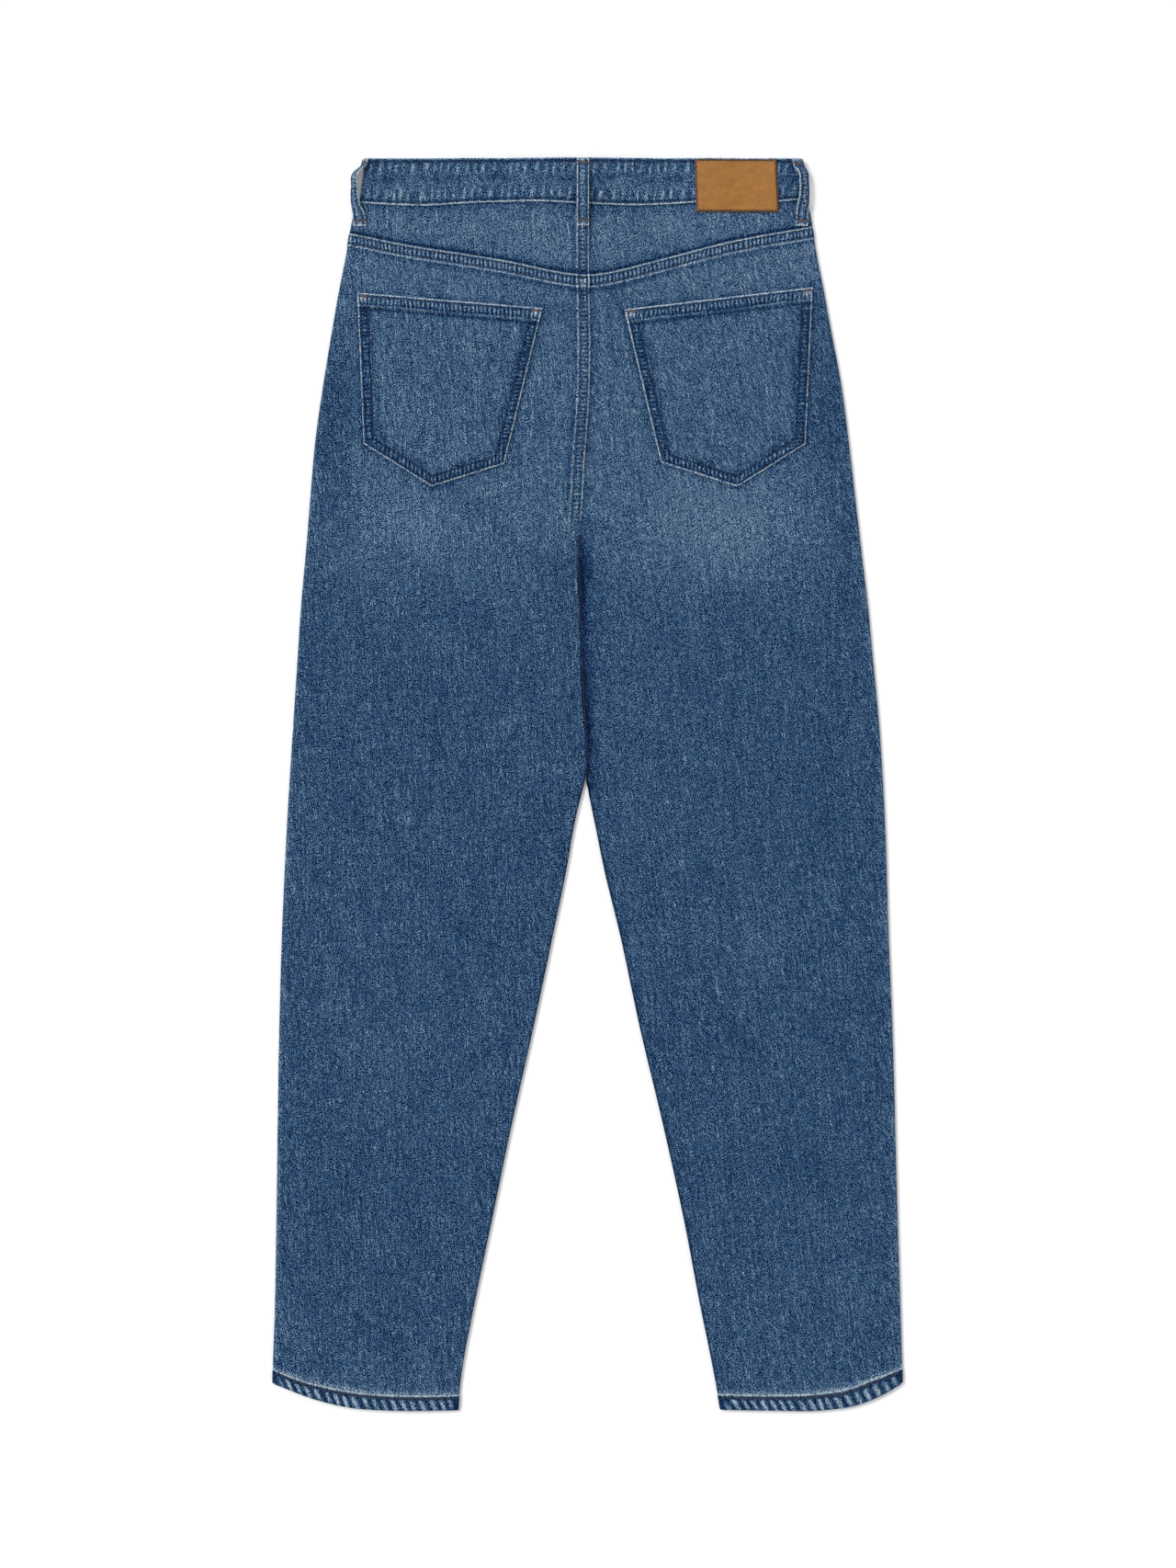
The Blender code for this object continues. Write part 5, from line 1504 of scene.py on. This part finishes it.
def hemRuns(side):
    share = np.linspace(0.02, 0.98, 160)
    depth = hem["row"] / hem["deep"]
    innerX = float(innerEdge(side, float(hemDown(side, 0.0, depth))))
    outerX = float(outerEdge(side, float(hemDown(side, 1.0, depth))))
    x = innerX + (outerX - innerX) * share
    down = hemDown(side, share, depth)
    strength = 0.35 + 0.65 * smooth(depth / 0.3)
    ridges = hemRidges(side, x, share, depth)
    z = clothHeight(side, x, down) + hem["proud"] + hem["high"] * strength * ridges - 0.1
    seen = run(place(x, down, z), step=2.9, length=2.9, width=2.3)
    return [seen, runBeneath(x, down, 0 * x, step=3.9, length=3.0)]


def loopRuns(edges):
    # Two rows along a loop.
    runs = []
    for share in (0.18, 0.82):
        over = loopSurface(edges, np.array([share, share + 0.01]))[1]
        runs.append(run(over[2:-2, 0], step=2.6, length=2.1, width=0.6))
    return runs


def loopTacks(edges):
    # A bar tack across each end.
    over = loopSurface(edges, np.linspace(0.02, 0.98, 9))[1]
    return [tackRun(over[row]) for row in (5, -6)]


def patchRuns():
    runs = []
    edgeX, edgeDown = patch["row"] / patch["wide"], patch["row"] / patch["tall"]
    corners = [(edgeX, edgeDown), (1 - edgeX, edgeDown), (1 - edgeX, 1 - edgeDown), (edgeX, 1 - edgeDown)]
    for start, end in zip(corners, corners[1:] + corners[:1]):
        share = np.linspace(0.01, 0.99, 60)
        across, below = start[0] + (end[0] - start[0]) * share, start[1] + (end[1] - start[1]) * share
        x, down = patchPlace(across, below)
        path = place(x, down, patchTop(across, below))
        runs.append(run(path, step=2.35, length=1.5, width=1.3))
    return runs


def frontRuns():
    # On the underside: the fly's curved rows, the pocket scoops and the inseams.
    runs = []
    curve = front["flyCurve"]
    for reach in front["flyRows"]:
        turn = np.linspace(0, np.pi / 2, 40)
        bottom = front["zipEnd"] + (reach - front["flyRows"][0]) * 0.5
        curveX = front["fly"] - reach * np.cos(turn)
        curveDown = bottom - curve + curve * np.sin(turn)
        x = np.concatenate([np.full(60, front["fly"] - reach), curveX])
        down = np.concatenate([np.linspace(40, bottom - curve - 1, 60), curveDown])
        runs.append(runBeneath(x, down, frontUnder(left, x, down)))
    for side in (left, right):
        for row in front["rows"]:
            down = front["top"] + front["scoopDeep"] * np.sin(np.linspace(0.03, 0.97, 80) * np.pi / 2)
            x = scoopEdge(side, down) - side * row * 1.05
            runs.append(runBeneath(x, down, frontUnder(side, x, down)))
            down = np.linspace(cloth["crotch"] + 6, cloth["hemLevel"] - 7, 300)
            x = foldLine(side, down) + side * (cloth["lip"] + cloth["gap"] + row)
            runs.append(runBeneath(x, down, frontUnder(side, x, down)))
    return runs


print("sewing")
seatRows = sew("stitches_seat_seams", backSeamRuns(), seamThread)
bandRows = sew("stitches_waistband", bandRuns(), bandThread)
pocketRows = pair(lambda side: sew(
    "stitches_pocket_" + sideNames[side], pocketRuns(side), bandThread))
hemRows = pair(lambda side: sew(
    "stitches_hem_" + sideNames[side], hemRuns(side), bandThread))
loopLines = [centerLoopEdges()] + [loopEdges(sideLoops[side]) for side in (left, right)]
loopRows = sew(
    "stitches_loops", sum([loopRuns(edges) for edges in loopLines], []), seamThread)
tacks = [loopTacks(edges) for edges in loopLines] + [pocketTacks(side) for side in (left, right)]
tackRows = sew("bar_tacks", sum(tacks, []), tackThread)
patchRows = sew("stitches_patch", patchRuns(), patchThread)
frontRows = sew("stitches_fronts", frontRuns(), seamThread)


# Stage

stage = {
    "scale": 0.78, "centerRow": 853.75, "frameRows": 1706, "distance": 3.0, "sensor": 24.0,
    "floor": 4.0, "floorDown": 0.0003, "white": 0.96, "glow": 0.08, "sky": 0.62,
    "sun": 1.75, "sunSize": 24, "sunTurn": (-20, -34, 0),
}


def buildStage():
    # A white floor, soft light from the upper left, and a camera that looks straight down.
    half, low = stage["floor"], -stage["floorDown"]
    floorMesh = bpy.data.meshes.new("floor")
    floorMesh.from_pydata(
        [(-half, -half, low), (half, -half, low), (half, half, low), (-half, half, low)], [],
        [(0, 1, 2, 3)])
    floor = bpy.data.objects.new("floor", floorMesh)
    bpy.context.scene.collection.objects.link(floor)
    material = bpy.data.materials.new("floor_white")
    material.use_nodes = True
    shader = material.node_tree.nodes["Principled BSDF"]
    shader.inputs["Base Color"].default_value = (*[stage["white"]] * 3, 1)
    shader.inputs["Roughness"].default_value = 0.9
    shader.inputs["Emission Color"].default_value = (1, 1, 1, 1)
    shader.inputs["Emission Strength"].default_value = stage["glow"]
    floorMesh.materials.append(material)

    world = bpy.data.worlds.new("studio")
    world.use_nodes = True
    background = world.node_tree.nodes["Background"]
    background.inputs["Color"].default_value = (1, 1, 1, 1)
    background.inputs["Strength"].default_value = stage["sky"]
    bpy.context.scene.world = world

    sun = bpy.data.lights.new("key", "SUN")
    sun.energy = stage["sun"]
    sun.angle = np.radians(stage["sunSize"])
    key = bpy.data.objects.new("key", sun)
    key.rotation_euler = np.radians(stage["sunTurn"])
    bpy.context.scene.collection.objects.link(key)

    camera = bpy.data.cameras.new("camera")
    camera.sensor_fit = "VERTICAL"
    camera.sensor_height = stage["sensor"]
    frameHeight = stage["frameRows"] * stage["scale"] * millimetre
    camera.lens = camera.sensor_height * stage["distance"] / frameHeight
    camera.clip_end = 20
    viewer = bpy.data.objects.new("camera", camera)
    rowShift = (stage["centerRow"] - stage["frameRows"] / 2) * stage["scale"]
    viewer.location = (
        xShift * millimetre, rowShift * millimetre, stage["distance"] + 0.005)
    bpy.context.scene.collection.objects.link(viewer)
    bpy.context.scene.camera = viewer
    bpy.context.scene.view_settings.view_transform = "Standard"


print("setting the stage")
buildStage()
